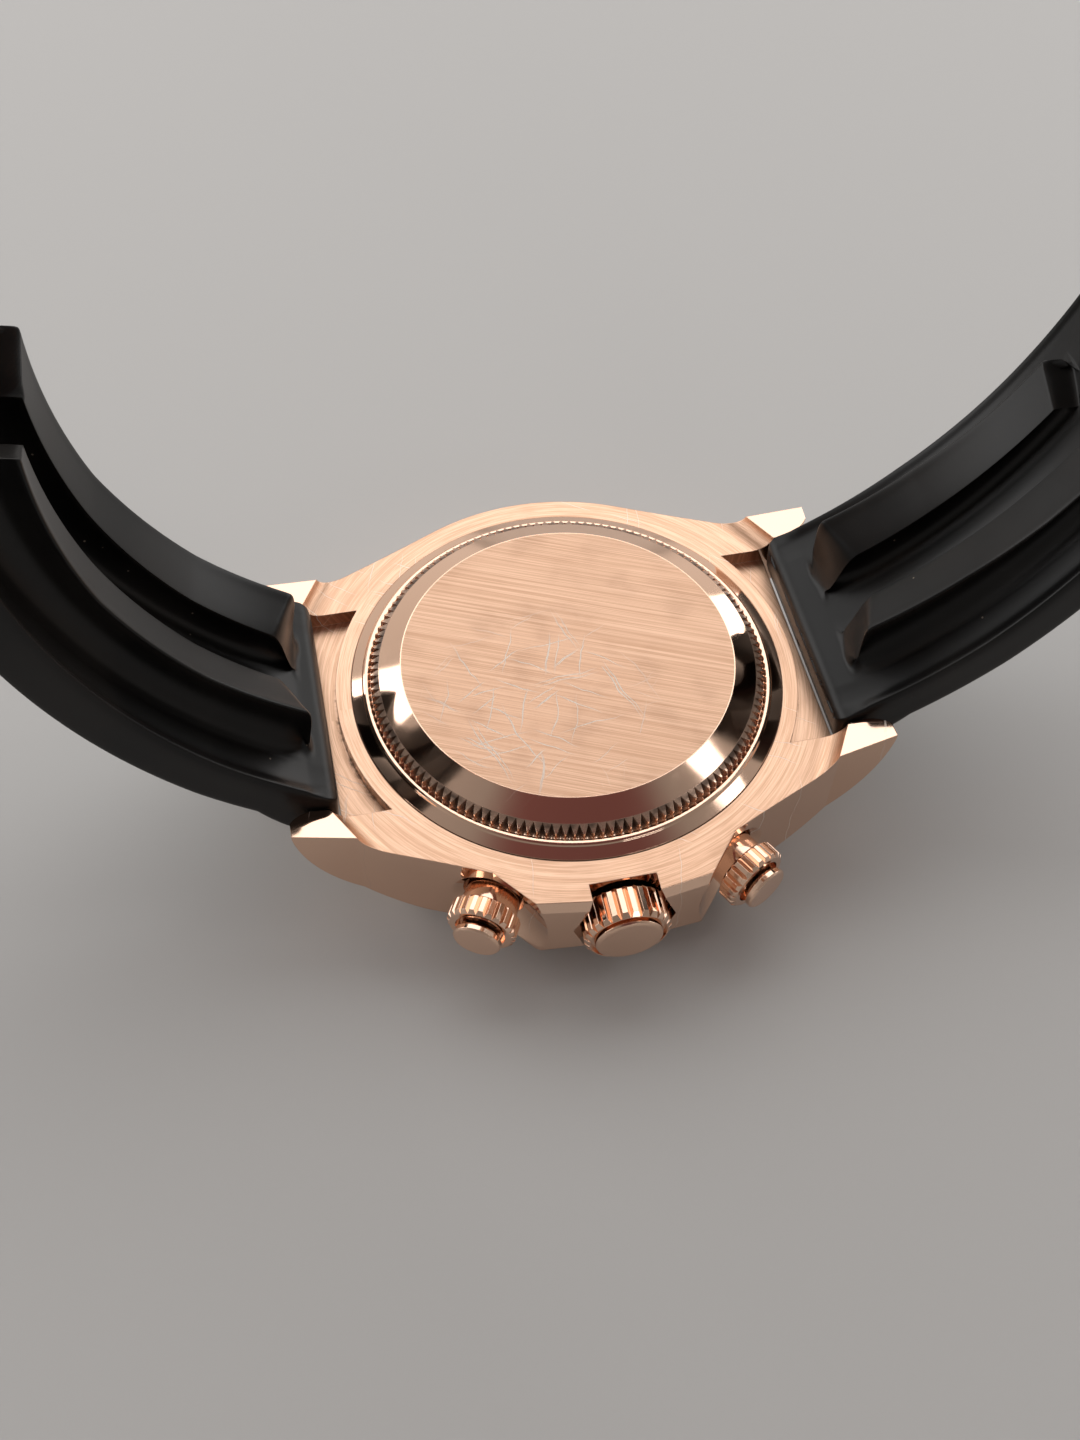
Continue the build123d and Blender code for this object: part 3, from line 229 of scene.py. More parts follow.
# empty node group with named sockets: inputs are (name, type, default), outputs are (name, type)
def newGroup(name, inputs, outputs):
    tree = bpy.data.node_groups.new(name, "ShaderNodeTree")
    for label, kind, value in inputs:
        socket = tree.interface.new_socket(label, in_out="INPUT", socket_type="NodeSocket" + kind)
        if value is not None:
            socket.default_value = value
    for label, kind in outputs:
        tree.interface.new_socket(label, in_out="OUTPUT", socket_type="NodeSocket" + kind)
    return tree, tree.nodes.new("NodeGroupInput").outputs, tree.nodes.new("NodeGroupOutput").inputs


# streaks: noise scaled by Grain (cycles per mm along x, y and z), in two sizes added together
def makeBrushedLines():
    tree, given, made = newGroup(
        "brushedLines", [("Vector", "Vector", None), ("Grain", "Vector", (0.3, 10, 10))],
        [("Streak", "Float")])
    total = None
    for share, detail in ((1.0, 3.0), (0.23, 2.0)):
        size = vectorMaths(tree, "SCALE", given["Grain"], share)
        scaled = vectorMaths(tree, "MULTIPLY", given["Vector"], size)
        noise = addNode(tree, "ShaderNodeTexNoise", {"Vector": scaled, "Scale": 1.0, "Detail": detail,
                                                     "Roughness": 0.6}).outputs[0]
        total = noise if total is None else addShare(tree, times(tree, total, 0.6), noise, 0.4)
    tree.links.new(total, made["Streak"])
    return tree


# scratches: long thin cells turned by Angle, a Share of which hold one needle each, bent by a slow noise
def makeHairScratches():
    tree, given, made = newGroup(
        "hairScratches", [("Vector", "Vector", None), ("Angle", "Float", 0.0), ("Length", "Float", 8.0),
                          ("Width", "Float", 0.1), ("Share", "Float", 0.05), ("Bend", "Float", 1.5)],
        [("Mask", "Float")])
    bend = addNode(tree, "ShaderNodeTexNoise", {"Vector": given["Vector"], "Scale": 0.3, "Detail": 2.5,
                                                "Roughness": 0.4})
    bend = vectorMaths(tree, "SCALE", bend.outputs[1], given["Bend"])
    moved = vectorMaths(tree, "ADD", bend, given["Vector"])
    # each angle gets its own stretch of cells
    shift = addNode(tree, "ShaderNodeCombineXYZ", {"X": times(tree, given["Angle"], 37.0),
                                                   "Y": times(tree, given["Angle"], 91.0)})
    moved = vectorMaths(tree, "ADD", moved, shift.outputs[0])
    turned = addNode(tree, "ShaderNodeVectorRotate", {"Vector": moved, "Angle": given["Angle"]},
                     rotation_type="Z_AXIS")
    size = addNode(tree, "ShaderNodeCombineXYZ", {"X": maths(tree, "DIVIDE", 1.0, given["Length"]),
                                                  "Y": maths(tree, "DIVIDE", 1.0, given["Width"]), "Z": 0.0})
    scaled = vectorMaths(tree, "MULTIPLY", turned.outputs[0], size.outputs[0])
    cells = addNode(tree, "ShaderNodeTexVoronoi", {"Vector": scaled, "Scale": 1.0}, voronoi_dimensions="2D")
    pick = addNode(tree, "ShaderNodeSeparateColor", {0: cells.outputs["Color"]}).outputs[0]
    needle = addNode(tree, "ShaderNodeMapRange", {"Value": cells.outputs["Distance"], "From Min": 0.42,
                                                  "From Max": 0.2}).outputs[0]
    tree.links.new(times(tree, maths(tree, "LESS_THAN", pick, given["Share"]), needle), made["Mask"])
    return tree


# dust: a small round spot in a Share of the cells
def makeDustSpecks():
    tree, given, made = newGroup("dustSpecks", [("Vector", "Vector", None), ("Scale", "Float", 1.0),
                                                ("Share", "Float", 0.1)], [("Mask", "Float")])
    cells = addNode(tree, "ShaderNodeTexVoronoi", {"Vector": given["Vector"], "Scale": given["Scale"]})
    pick = addNode(tree, "ShaderNodeSeparateColor", {0: cells.outputs["Color"]}).outputs[1]
    spot = addNode(tree, "ShaderNodeMapRange", {"Value": cells.outputs["Distance"], "From Min": 0.11,
                                                "From Max": 0.05}).outputs[0]
    tree.links.new(times(tree, maths(tree, "LESS_THAN", pick, given["Share"]), spot), made["Mask"])
    return tree


# rounded look of sharp edges, and a mask that is 1 on them
def makeSoftEdges():
    tree, given, made = newGroup("softEdges", [("Radius", "Float", 0.0001)], [("Normal", "Vector"),
                                                                            ("Edge", "Float")])
    bevel = addNode(tree, "ShaderNodeBevel", {"Radius": given["Radius"]}, samples=6)
    surface = addNode(tree, "ShaderNodeNewGeometry")
    match = vectorMaths(tree, "DOT_PRODUCT", bevel.outputs[0], surface.outputs["Normal"])
    tree.links.new(bevel.outputs[0], made["Normal"])
    tree.links.new(addNode(tree, "ShaderNodeMapRange", {"Value": match, "From Min": 0.995,
                                                        "From Max": 0.93}).outputs[0], made["Edge"])
    return tree


effects = {"lines": makeBrushedLines(), "scratches": makeHairScratches(), "specks": makeDustSpecks(),
           "edges": makeSoftEdges()}


# one placed copy of a shared effect
def useEffect(tree, name, inputs):
    return addNode(tree, "ShaderNodeGroup", inputs, node_tree=effects[name]).outputs


# material with its tree, its Principled shader, and Object coordinates in mm
def newMaterial(name):
    material = bpy.data.materials.new(name)
    material.use_nodes = True
    tree = material.node_tree
    place = vectorMaths(tree, "SCALE", addNode(tree, "ShaderNodeTexCoord").outputs["Object"], 1000.0)
    return material, tree, tree.nodes["Principled BSDF"], place


def axisOf(tree, vector, axis):
    return addNode(tree, "ShaderNodeSeparateXYZ", {0: vector}).outputs[axis]


# distance from a vertical axis through a centre
def radiusOf(tree, place, centre=(0, 0)):
    moved = vectorMaths(tree, "SUBTRACT", place, (centre[0], centre[1], 0))
    return vectorMaths(tree, "LENGTH", vectorMaths(tree, "MULTIPLY", moved, (1, 1, 0)))


# angle round the watch's axis times reach, radius, height: a pattern on it runs round the axis
def aroundAxis(tree, place, reach=17.0):
    parts = addNode(tree, "ShaderNodeSeparateXYZ", {0: place}).outputs
    angle = times(tree, maths(tree, "ARCTAN2", parts["Y"], parts["X"]), reach)
    return addNode(tree, "ShaderNodeCombineXYZ", {"X": angle, "Y": radiusOf(tree, place),
                                                  "Z": parts["Z"]}).outputs[0]


# 1 between two values, with soft ends
def between(tree, value, low, high, soft=0.05):
    return times(tree, ease(tree, value, low - soft, low + soft),
                 ease(tree, value, high + soft, high - soft))


def noiseAt(tree, place, scale, detail=3.0):
    return addNode(tree, "ShaderNodeTexNoise", {"Vector": place, "Scale": scale, "Detail": detail}).outputs[0]


# size of the surface normal's part along an axis of the world at rest
def facing(tree, axis):
    surface = addNode(tree, "ShaderNodeNewGeometry")
    turned = addNode(tree, "ShaderNodeVectorTransform", {0: surface.outputs["True Normal"]},
                     vector_type="NORMAL", convert_from="WORLD", convert_to="OBJECT")
    return maths(tree, "ABSOLUTE", axisOf(tree, turned.outputs[0], axis))


# the pale scratch colours below are painted glints: they stand for the light that scratches catch, not the
# metal's own colour
metalLooks = {
    "gold": {"polished": (0.91, 0.62, 0.46, 1), "brushed": (0.82, 0.545, 0.385, 1),
             "dark": (0.60, 0.365, 0.24, 1), "scratchGlint": (1.0, 0.90, 0.80, 1)},
    "steel": {"polished": (0.70, 0.70, 0.71, 1), "brushed": (0.62, 0.62, 0.63, 1),
              "dark": (0.48, 0.48, 0.50, 1), "scratchGlint": (0.85, 0.85, 0.86, 1)},
    "plate": {"polished": (0.74, 0.73, 0.71, 1), "brushed": (0.68, 0.67, 0.65, 1),
              "dark": (0.54, 0.53, 0.51, 1), "scratchGlint": (0.85, 0.85, 0.84, 1)},
    "brass": {"polished": (0.88, 0.70, 0.38, 1), "brushed": (0.80, 0.62, 0.32, 1),
              "dark": (0.62, 0.45, 0.21, 1), "scratchGlint": (0.95, 0.82, 0.55, 1)},
}
grimeColour = (0.060, 0.033, 0.020, 1)
metalSurface = {
    "edgeWear": 0.5,                 # share of the polished colour on sharp edges
    "streakRough": 0.08,             # what streaks, haze, scratches and dirt add to the roughness
    "hazeRough": 0.05,
    "scratchRough": 0.22,
    "grimeRough": 0.4,
    "scratchMatte": 0.6,             # share of the mirror that scratches and dirt take away
    "grimeMatte": 0.85,
    "bumpStrength": 0.35,
    "bumpDepth": 0.02,               # mm
}
# angle in degrees, length and width in mm, and share of the cells
fewScratches = [(35, 5, 0.07, 0.012), (100, 6, 0.06, 0.012)]
discScratches = [(72, 9, 0.16, 0.045), (108, 6, 0.14, 0.040), (38, 5, 0.14, 0.030), (-8, 7, 0.13, 0.030),
                 (150, 4, 0.13, 0.030)]


# Metal that is brushed where brushedMask is 1 and mirror-polished elsewhere. brushedMask and grimeMask are
# functions of the tree and the place; space turns the place into the brushing's own coordinates; grain is
# cycles per mm along its axes. Streaks change the colour, the roughness and a fine bump
def metalMaterial(name, look, brushedMask=None, grimeMask=None, space=None, grain=(0.35, 11, 11),
                  scratches=(), scratchZone=None, roughness=(0.07, 0.33), edge=0.09, anisotropy=0.0,
                  flow=(0, 1, 0)):
    colours = metalLooks[look]
    material, tree, shader, place = newMaterial(name)
    streak = useEffect(tree, "lines", {"Vector": space(tree, place) if space else place, "Grain": grain})[0]
    brushed = brushedMask(tree, place) if brushedMask else 0.0
    edges = useEffect(tree, "edges", {"Radius": edge * mm})
    brushedColour = mixColours(tree, ease(tree, streak, 0.40, 0.62), colours["dark"], colours["brushed"])
    colour = mixColours(tree, brushed, colours["polished"], brushedColour)
    worn = times(tree, edges["Edge"], metalSurface["edgeWear"])
    colour = mixColours(tree, worn, colour, colours["polished"])
    haze = ease(tree, noiseAt(tree, place, 0.35, 4.0), 0.45, 0.75)
    rough = addShare(tree, roughness[0], brushed, roughness[1] - roughness[0])
    rough = addShare(tree, rough, times(tree, streak, brushed), metalSurface["streakRough"])
    rough = addShare(tree, rough, haze, metalSurface["hazeRough"])
    height = times(tree, streak, brushed)
    matte = 0.0
    if scratches:
        marks = None
        for angle, length, width, share in scratches:
            mask = useEffect(tree, "scratches", {"Vector": place, "Angle": radians(angle), "Length": length,
                                                 "Width": width, "Share": share})[0]
            marks = mask if marks is None else maths(tree, "MAXIMUM", marks, mask)
        if scratchZone:
            marks = times(tree, marks, ease(tree, radiusOf(tree, place, scratchZone[:2]),
                                            scratchZone[2] + 2, scratchZone[2] - 2))
        # scratches are rougher and duller for real, and their pale colour is a painted glint
        colour = mixColours(tree, marks, colour, colours["scratchGlint"])
        rough = addShare(tree, rough, marks, metalSurface["scratchRough"])
        matte = times(tree, marks, metalSurface["scratchMatte"])
    if grimeMask:
        dirt = grimeMask(tree, place)
        colour = mixColours(tree, dirt, colour, grimeColour)
        rough = addShare(tree, rough, dirt, metalSurface["grimeRough"])
        matte = maths(tree, "MAXIMUM", matte, times(tree, dirt, metalSurface["grimeMatte"]))
    if scratches or grimeMask:
        # dirt and the torn edges of scratches are not mirrors
        tree.links.new(maths(tree, "SUBTRACT", 1.0, matte), shader.inputs["Metallic"])
    else:
        shader.inputs["Metallic"].default_value = 1.0
    if anisotropy:
        # along the highlight, turned with the piece
        shader.inputs["Anisotropic"].default_value = anisotropy
        tangent = addNode(tree, "ShaderNodeVectorTransform", {0: flow}, vector_type="VECTOR",
                          convert_from="OBJECT", convert_to="WORLD")
        tree.links.new(tangent.outputs[0], shader.inputs["Tangent"])
    bump = addNode(tree, "ShaderNodeBump", {"Height": height, "Strength": metalSurface["bumpStrength"],
                                            "Distance": metalSurface["bumpDepth"] * mm,
                                            "Normal": edges["Normal"]})
    fill(tree, shader, {"Base Color": colour, "Roughness": rough, "Normal": bump.outputs[0]})
    return material


caseZones = {                        # mm; up is the size of the normal's upright part
    "levelUp": 0.985,                # over this is the flat back and the shelf
    "wallUp": 0.12,                  # under this is a wall
    "flatTop": (10.25, 10.05),       # the flat back's brushing fades between these heights
    "ramp": (9.81, 11.9),            # heights of the ramps
    "facetUp": (0.968, 0.986),       # the facets all lean by one angle
    "facetFoot": 11.0,               # and lie over this height
    "seam": (16.0, 17.66),           # radii
    "shelf": (18.6, 19.0),           # radii of the dirt at the foot of the round back
    "shelfTop": 9.7,
    "shelfDirt": 0.7,
}


# flat back, ramps and shelf of the mid-case; the lug facets, bevels and sides stay polished
def caseBrushed(tree, place):
    height = axisOf(tree, place, "Z")
    up = facing(tree, "Z")
    level = caseZones["levelUp"]
    flat = times(tree, maths(tree, "GREATER_THAN", up, level), ease(tree, height, *caseZones["flatTop"]))
    ramp = times(tree, maths(tree, "LESS_THAN", up, level),
                 maths(tree, "GREATER_THAN", up, caseZones["wallUp"]))
    ramp = times(tree, ramp, between(tree, height, *caseZones["ramp"], 0.01))
    facet = times(tree, between(tree, up, *caseZones["facetUp"], 0.003),
                  maths(tree, "GREATER_THAN", height, caseZones["facetFoot"]))
    ramp = times(tree, ramp, maths(tree, "SUBTRACT", 1.0, facet))
    return maths(tree, "MAXIMUM", flat, ramp)


# dirt in the seam round the case back, and crumbs of it along the foot of the round back over the shelf
def caseGrime(tree, place):
    radius = radiusOf(tree, place)
    height = axisOf(tree, place, "Z")
    patches = noiseAt(tree, place, 0.9, 5.0)
    crumbs = noiseAt(tree, place, 5.0, 4.0)
    seam = between(tree, radius, *caseZones["seam"], 0.05)
    shelf = times(tree, between(tree, radius, *caseZones["shelf"], 0.35),
                  maths(tree, "LESS_THAN", height, caseZones["shelfTop"]))
    shelf = times(tree, shelf, times(tree, ease(tree, patches, 0.42, 0.62), ease(tree, crumbs, 0.38, 0.62)))
    return maths(tree, "MAXIMUM", seam, times(tree, shelf, caseZones["shelfDirt"]))


backZones = {                        # mm, radii unless said
    "discEdge": (13.47, 13.41),      # the disc's brushing ends between these
    "discHeight": 12.15,             # and the disc lies over this height
    "rootsOut": (16.0, 15.55),       # the dirt at the flutes' roots fades between these, outwards
    "rootsIn": (15.27, 15.33),       # and inwards
    "brushTurn": 23.4,               # degrees from the brushing to the x axis
    "brushFlow": (0.397, 0.918, 0),  # sine and cosine of that turn
    "scratched": (-3, -4, 8),        # centre and radius of the scratched part
}


# flat disc of the case back
def backBrushed(tree, place):
    return times(tree, ease(tree, radiusOf(tree, place), *backZones["discEdge"]),
                 maths(tree, "GREATER_THAN", axisOf(tree, place, "Z"), backZones["discHeight"]))


# dirt at the roots of the flutes
def backGrime(tree, place):
    radius = radiusOf(tree, place)
    patches = ease(tree, noiseAt(tree, place, 0.6, 4.0), 0.35, 0.65)
    patchy = addShare(tree, 0.5, patches, 0.45)
    roots = times(tree, ease(tree, radius, *backZones["rootsOut"]), ease(tree, radius, *backZones["rootsIn"]))
    return times(tree, roots, patchy)


# x runs along the brushing of the disc
def discSpace(tree, place):
    turn = radians(backZones["brushTurn"])
    return addNode(tree, "ShaderNodeVectorRotate", {"Vector": place, "Angle": turn},
                   rotation_type="Z_AXIS").outputs[0]


# outer faces of the clasp, brushed along its length; its edges stay polished
def claspBrushed(tree, place):
    return maths(tree, "LESS_THAN", facing(tree, "Y"), 0.3)


everywhere = lambda tree, place: 1.0

metals = {
    "caseGold": metalMaterial("caseGold", "gold", caseBrushed, caseGrime, aroundAxis, (0.35, 17, 17),
                              fewScratches),
    "backGold": metalMaterial("backGold", "gold", backBrushed, backGrime, discSpace, (0.10, 16, 16),
                              discScratches, backZones["scratched"], roughness=(0.06, 0.36),
                              anisotropy=0.75, flow=backZones["brushFlow"]),
    "polishedGold": metalMaterial("polishedGold", "gold", scratches=fewScratches),
    "flutedGold": metalMaterial("flutedGold", "gold", edge=0.05, roughness=(0.10, 0.3)),
    "claspGold": metalMaterial("claspGold", "gold", claspBrushed, None, None, (0.25, 10, 0.25), fewScratches),
    "markerGold": metalMaterial("markerGold", "gold", edge=0.04),
    "pinSteel": metalMaterial("pinSteel", "steel", everywhere, grain=(8, 0.5, 8)),
    "springSteel": metalMaterial("springSteel", "steel", everywhere, grain=(0.3, 8, 0.3),
                                 roughness=(0.1, 0.28)),
    "plateSteel": metalMaterial("plateSteel", "plate", everywhere, space=discSpace, grain=(0.4, 5, 5)),
    "rotorSteel": metalMaterial("rotorSteel", "plate", everywhere, space=aroundAxis, grain=(0.4, 7, 7)),
    "screwSteel": metalMaterial("screwSteel", "steel", scratches=fewScratches, edge=0.04),
    "wheelBrass": metalMaterial("wheelBrass", "brass", everywhere, space=aroundAxis, grain=(0.6, 9, 9),
                                edge=0.03),
}
print("metal ready")

rubber = {"dark": (0.0030, 0.0028, 0.0028, 1), "bloom": (0.0095, 0.0082, 0.0074, 1),
          "dust": (0.30, 0.25, 0.20, 1), "roughness": 0.30, "cloudRough": 0.14,
          "grain": 9.0, "grainStrength": 0.18, "grainDepth": 0.02}      # cycles per mm, share, mm


# matte black elastomer with a faint cloudy bloom, fine grain and dust
def rubberMaterial(name, dusty=True):
    material, tree, shader, place = newMaterial(name)
    cloud = noiseAt(tree, place, 0.12, 5.0)
    colour = mixColours(tree, ease(tree, cloud, 0.4, 0.72), rubber["dark"], rubber["bloom"])
    roughness = addShare(tree, rubber["roughness"], cloud, rubber["cloudRough"])
    if dusty:
        specks = useEffect(tree, "specks", {"Vector": place, "Scale": 1.1, "Share": 0.03})[0]
        colour = mixColours(tree, specks, colour, rubber["dust"])
    bump = addNode(tree, "ShaderNodeBump", {"Height": noiseAt(tree, place, rubber["grain"]),
                                            "Strength": rubber["grainStrength"],
                                            "Distance": rubber["grainDepth"] * mm})
    fill(tree, shader, {"Base Color": colour, "Roughness": roughness, "Normal": bump.outputs[0],
                        "Specular IOR Level": 0.28, "Sheen Weight": 0.05, "Sheen Roughness": 0.35,
                        "Sheen Tint": (1.0, 0.86, 0.76, 1)})
    return material


strapRubber = rubberMaterial("strapRubber")
gasketRubber = rubberMaterial("gasketRubber", dusty=False)


# glazed black ceramic with a slow colour change and faint polishing marks
def ceramicMaterial():
    material, tree, shader, place = newMaterial("insertCeramic")
    colour = mixColours(tree, noiseAt(tree, place, 0.2), (0.008, 0.008, 0.009, 1), (0.016, 0.015, 0.016, 1))
    marks = useEffect(tree, "lines", {"Vector": aroundAxis(tree, place), "Grain": (0.4, 6, 6)})[0]
    fill(tree, shader, {"Base Color": colour, "Roughness": addShare(tree, 0.05, marks, 0.08),
                        "Coat Weight": 0.6, "Coat Roughness": 0.03})
    return material


# dark lacquer over a dial brushed out from its centre: streaks follow the angle only
def dialMaterial():
    material, tree, shader, place = newMaterial("dialLacquer")
    rays = useEffect(tree, "lines", {"Vector": aroundAxis(tree, place, 60.0), "Grain": (1.6, 0.05, 0.05)})[0]
    colour = mixColours(tree, ease(tree, rays, 0.35, 0.68), (0.012, 0.010, 0.010, 1),
                        (0.045, 0.036, 0.033, 1))
    colour = mixColours(tree, ease(tree, radiusOf(tree, place), 9, 15), colour, (0.010, 0.009, 0.009, 1))
    fill(tree, shader, {"Base Color": colour, "Roughness": addShare(tree, 0.22, rays, 0.12),
                        "Metallic": 0.5, "Coat Weight": 0.5, "Coat Roughness": 0.05})
    return material


# clear crystal; faint smears make it slightly duller and darker
def crystalMaterial():
    material, tree, shader, place = newMaterial("crystalGlass")
    smear = ease(tree, noiseAt(tree, place, 0.25, 4.0), 0.5, 0.8)
    roughness = addShare(tree, 0.0, smear, 0.02)
    colour = mixColours(tree, smear, (0.985, 0.99, 0.995, 1), (0.96, 0.97, 0.975, 1))
    fill(tree, shader, {"Roughness": roughness, "Base Color": colour, "Transmission Weight": 1.0,
                        "IOR": 1.45})
    return material


# red jewel with a cloudy depth
def jewelMaterial():
    material, tree, shader, place = newMaterial("jewelRed")
    colour = mixColours(tree, noiseAt(tree, place, 1.5), (0.42, 0.01, 0.05, 1), (0.62, 0.04, 0.12, 1))
    fill(tree, shader, {"Base Color": colour, "Roughness": times(tree, noiseAt(tree, place, 3.0), 0.15),
                        "Coat Weight": 0.8})
    return material


dressing = {
    "caseGold": ["mid_case"],
    "backGold": ["case_back"],
    "polishedGold": ["bezel"],
    "flutedGold": ["crown", "upper_pusher_collar", "lower_pusher_collar", "upper_pusher_button",
                   "lower_pusher_button"],
    "claspGold": ["clasp_cover", "clasp_outer_blade", "clasp_inner_blade", "safety_catch"],
    "markerGold": ["hour_markers", "sub_dial_rings", "hour_hand", "minute_hand", "chrono_seconds_hand",
                   "minute_counter_hand", "hour_counter_hand", "running_seconds_hand"],
    "pinSteel": ["lug_bar_12", "lug_bar_6", "clasp_bar_12", "clasp_bar_6", "cover_pin", "catch_pin",
                 "fold_pin", "crown_tube", "upper_pusher_tube", "lower_pusher_tube", "winding_stem",
                 "barrel_arbor"],
    "springSteel": ["strap_12_blade", "strap_6_blade", "mainspring", "hairspring"],
    "plateSteel": ["main_plate", "casing_ring", "train_bridge", "balance_bridge", "rotor_bearing"],
    "rotorSteel": ["rotor"],
    "screwSteel": ["bridge_screws", "pallet_fork", "escape_wheel"],
    "wheelBrass": ["barrel", "centre_wheel", "third_wheel", "fourth_wheel", "balance_wheel"],
}
finishes = dict(metals, gasketRubber=gasketRubber, insertCeramic=ceramicMaterial(),
                dialLacquer=dialMaterial(), crystalGlass=crystalMaterial(), jewelRed=jewelMaterial())
dressing.update({"gasketRubber": ["crystal_gasket", "case_back_gasket", "crown_gasket"],
                 "insertCeramic": ["bezel_insert"], "dialLacquer": ["dial", "inner_flange"],
                 "crystalGlass": ["crystal"], "jewelRed": ["bridge_jewels"]})
for finish, names in dressing.items():
    for name in names:
        for slot in nodes[name].material_slots:
            slot.material = finishes[finish]
print("dressed:", sum(len(names) for names in dressing.values()), "nodes")


# mesh object from an array of points in metres and lists of corners
def makePiece(name, points, faces, material, body, smooth=True):
    mesh = bpy.data.meshes.new(name)
    mesh.from_pydata(np.asarray(points, float).tolist(), [], faces)
    mesh.polygons.foreach_set("use_smooth", [smooth] * len(mesh.polygons))
    mesh.materials.append(material)
    mesh.update()
    piece = bpy.data.objects.new(name, mesh)
    bpy.context.scene.collection.objects.link(piece)
    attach(piece, body)
    return piece


strap = {
    "thickness": 3.4,
    "halfAtLug": 9.9,
    "halfAtClasp": 7.85,
    "taper": (18, 66),              # heights between which the strap narrows
    "headLength": 4.5,              # stretch at the lug where the underside drops round the spring bar
    "overhang": 0.5,                # the end's upper part reaches this far over the seam at the case
    "overhangRun": 2.0,             # stretch over which that part draws back
    "noseBack": 1.9,                # the round nose starts this far before the end of the path
    # control points of the underside round the spring bar: x outwards from the middle of the case, z
    "underside": [(20.05, 8.3), (20.6, 6.6), (23.2, 7.4)],
    "edge": 0.9,                    # rounding of the end at the lug
    "channelHalf": 2.1,             # half width of the channel between the fins, at their tops
    "finEdge": 5.85,                # outer edge of the fins' tops
    "footSlope": (4.9, 3.6),        # length of the slope at a fin's end, at the channel and at the outer edge
    "noseNarrowing": 0.7,           # how much the half width loses round the nose
    "rimHeight": 2.2,               # the flange's rim, as a multiple of its height in the outline
    "rimRun": (0.6, 2.0),           # where the rim begins, and the stretch over which it grows
    # sections in each stretch of the path: rounded end, up to the fins, their start, middle, end, the rest
    "rows": [9, 8, 60, 70, 40, 30],
    "finRows": (-3.4, 2.2, -2.6, 0.8),      # how far the fins' start and end reach, back and on
    "noseRows": 14,
    "sectionPoints": (86, 64),      # over the fin, and over the flange and the outer side
}
strapHalves = {     # fins: stretches of path, tops: height over the base at the channel and at the outer edge
    "strap_12": {"side": -1, "start": (20.3, 11.8), "heading": 37, "arcs": [(70, 5), (41, 58), (90, 12)],
                 "finStart": (6.2, 4.7), "finEnd": (38.5, 41.0),
                 "tops": ([5, 14, 26, 40], [3.1, 2.9, 3.2, 4.0], [4.5, 3.9, 3.7, 4.4])},
    "strap_6": {"side": 1, "start": (20.3, 11.3), "heading": 24, "arcs": [(37, 38), (45, 36), (90, 7)],
                "finStart": (6.7, 5.3), "finEnd": (27.0, 28.5),
                "tops": ([5, 14, 22, 28], [3.0, 2.6, 2.1, 1.7], [4.4, 3.7, 2.7, 2.2])},
}


# place and heading along the wrist side: every tangent arc adds the part of its turn that is already swept
def strapCurve(half, length):
    x, z = np.full_like(length, half["start"][0]), np.full_like(length, half["start"][1])
    heading = np.full_like(length, radians(half["heading"]))
    before = 0.0
    for radius, turn in half["arcs"]:
        swept = np.clip(length - before, 0, radius * radians(turn)) / radius
        x = x + radius * (np.sin(heading + swept) - np.sin(heading))
        z = z + radius * (np.cos(heading) - np.cos(heading + swept))
        heading = heading + swept
        before += radius * radians(turn)
    return x, z, heading


# 3t^2 - 2t^3 between 0 and 1
def smoothStep(value):
    value = np.clip(value, 0, 1)
    return value * value * (3 - 2 * value)


# Catmull-Rom curves through the control points of every row at once: rows x points x n, to rows x count x n
def smoothRows(points, count):
    padded = np.concatenate([2 * points[:, :1] - points[:, 1:2], points,
                             2 * points[:, -1:] - points[:, -2:-1]], 1)
    at = np.linspace(0, points.shape[1] - 1 - 1e-9, count)
    index = at.astype(int)
    t = (at - index)[None, :, None]
    a, b, c, d = (padded[:, index + shift] for shift in range(4))
    return 0.5 * (2 * b + (c - a) * t + (2 * a - 5 * b + 4 * c - d) * t ** 2
                  + (3 * b - 3 * c + d - a) * t ** 3)


# share of a fin's height along the strap: eased up its sloping end at the lug, and down at its steep far end.
# Both ends slant across the fin, from the channel side (across 0) to the outer side (across 1)
def finGate(half, length, across):
    start = half["finStart"][0] + (half["finStart"][1] - half["finStart"][0]) * across
    end = half["finEnd"][0] + (half["finEnd"][1] - half["finEnd"][0]) * across
    slope = strap["footSlope"][0] + (strap["footSlope"][1] - strap["footSlope"][0]) * across
    return (smoothStep((length[:, None] - start + slope) / slope) ** 0.9
            * smoothStep((end - length[:, None] + 0.5) / 1.0))


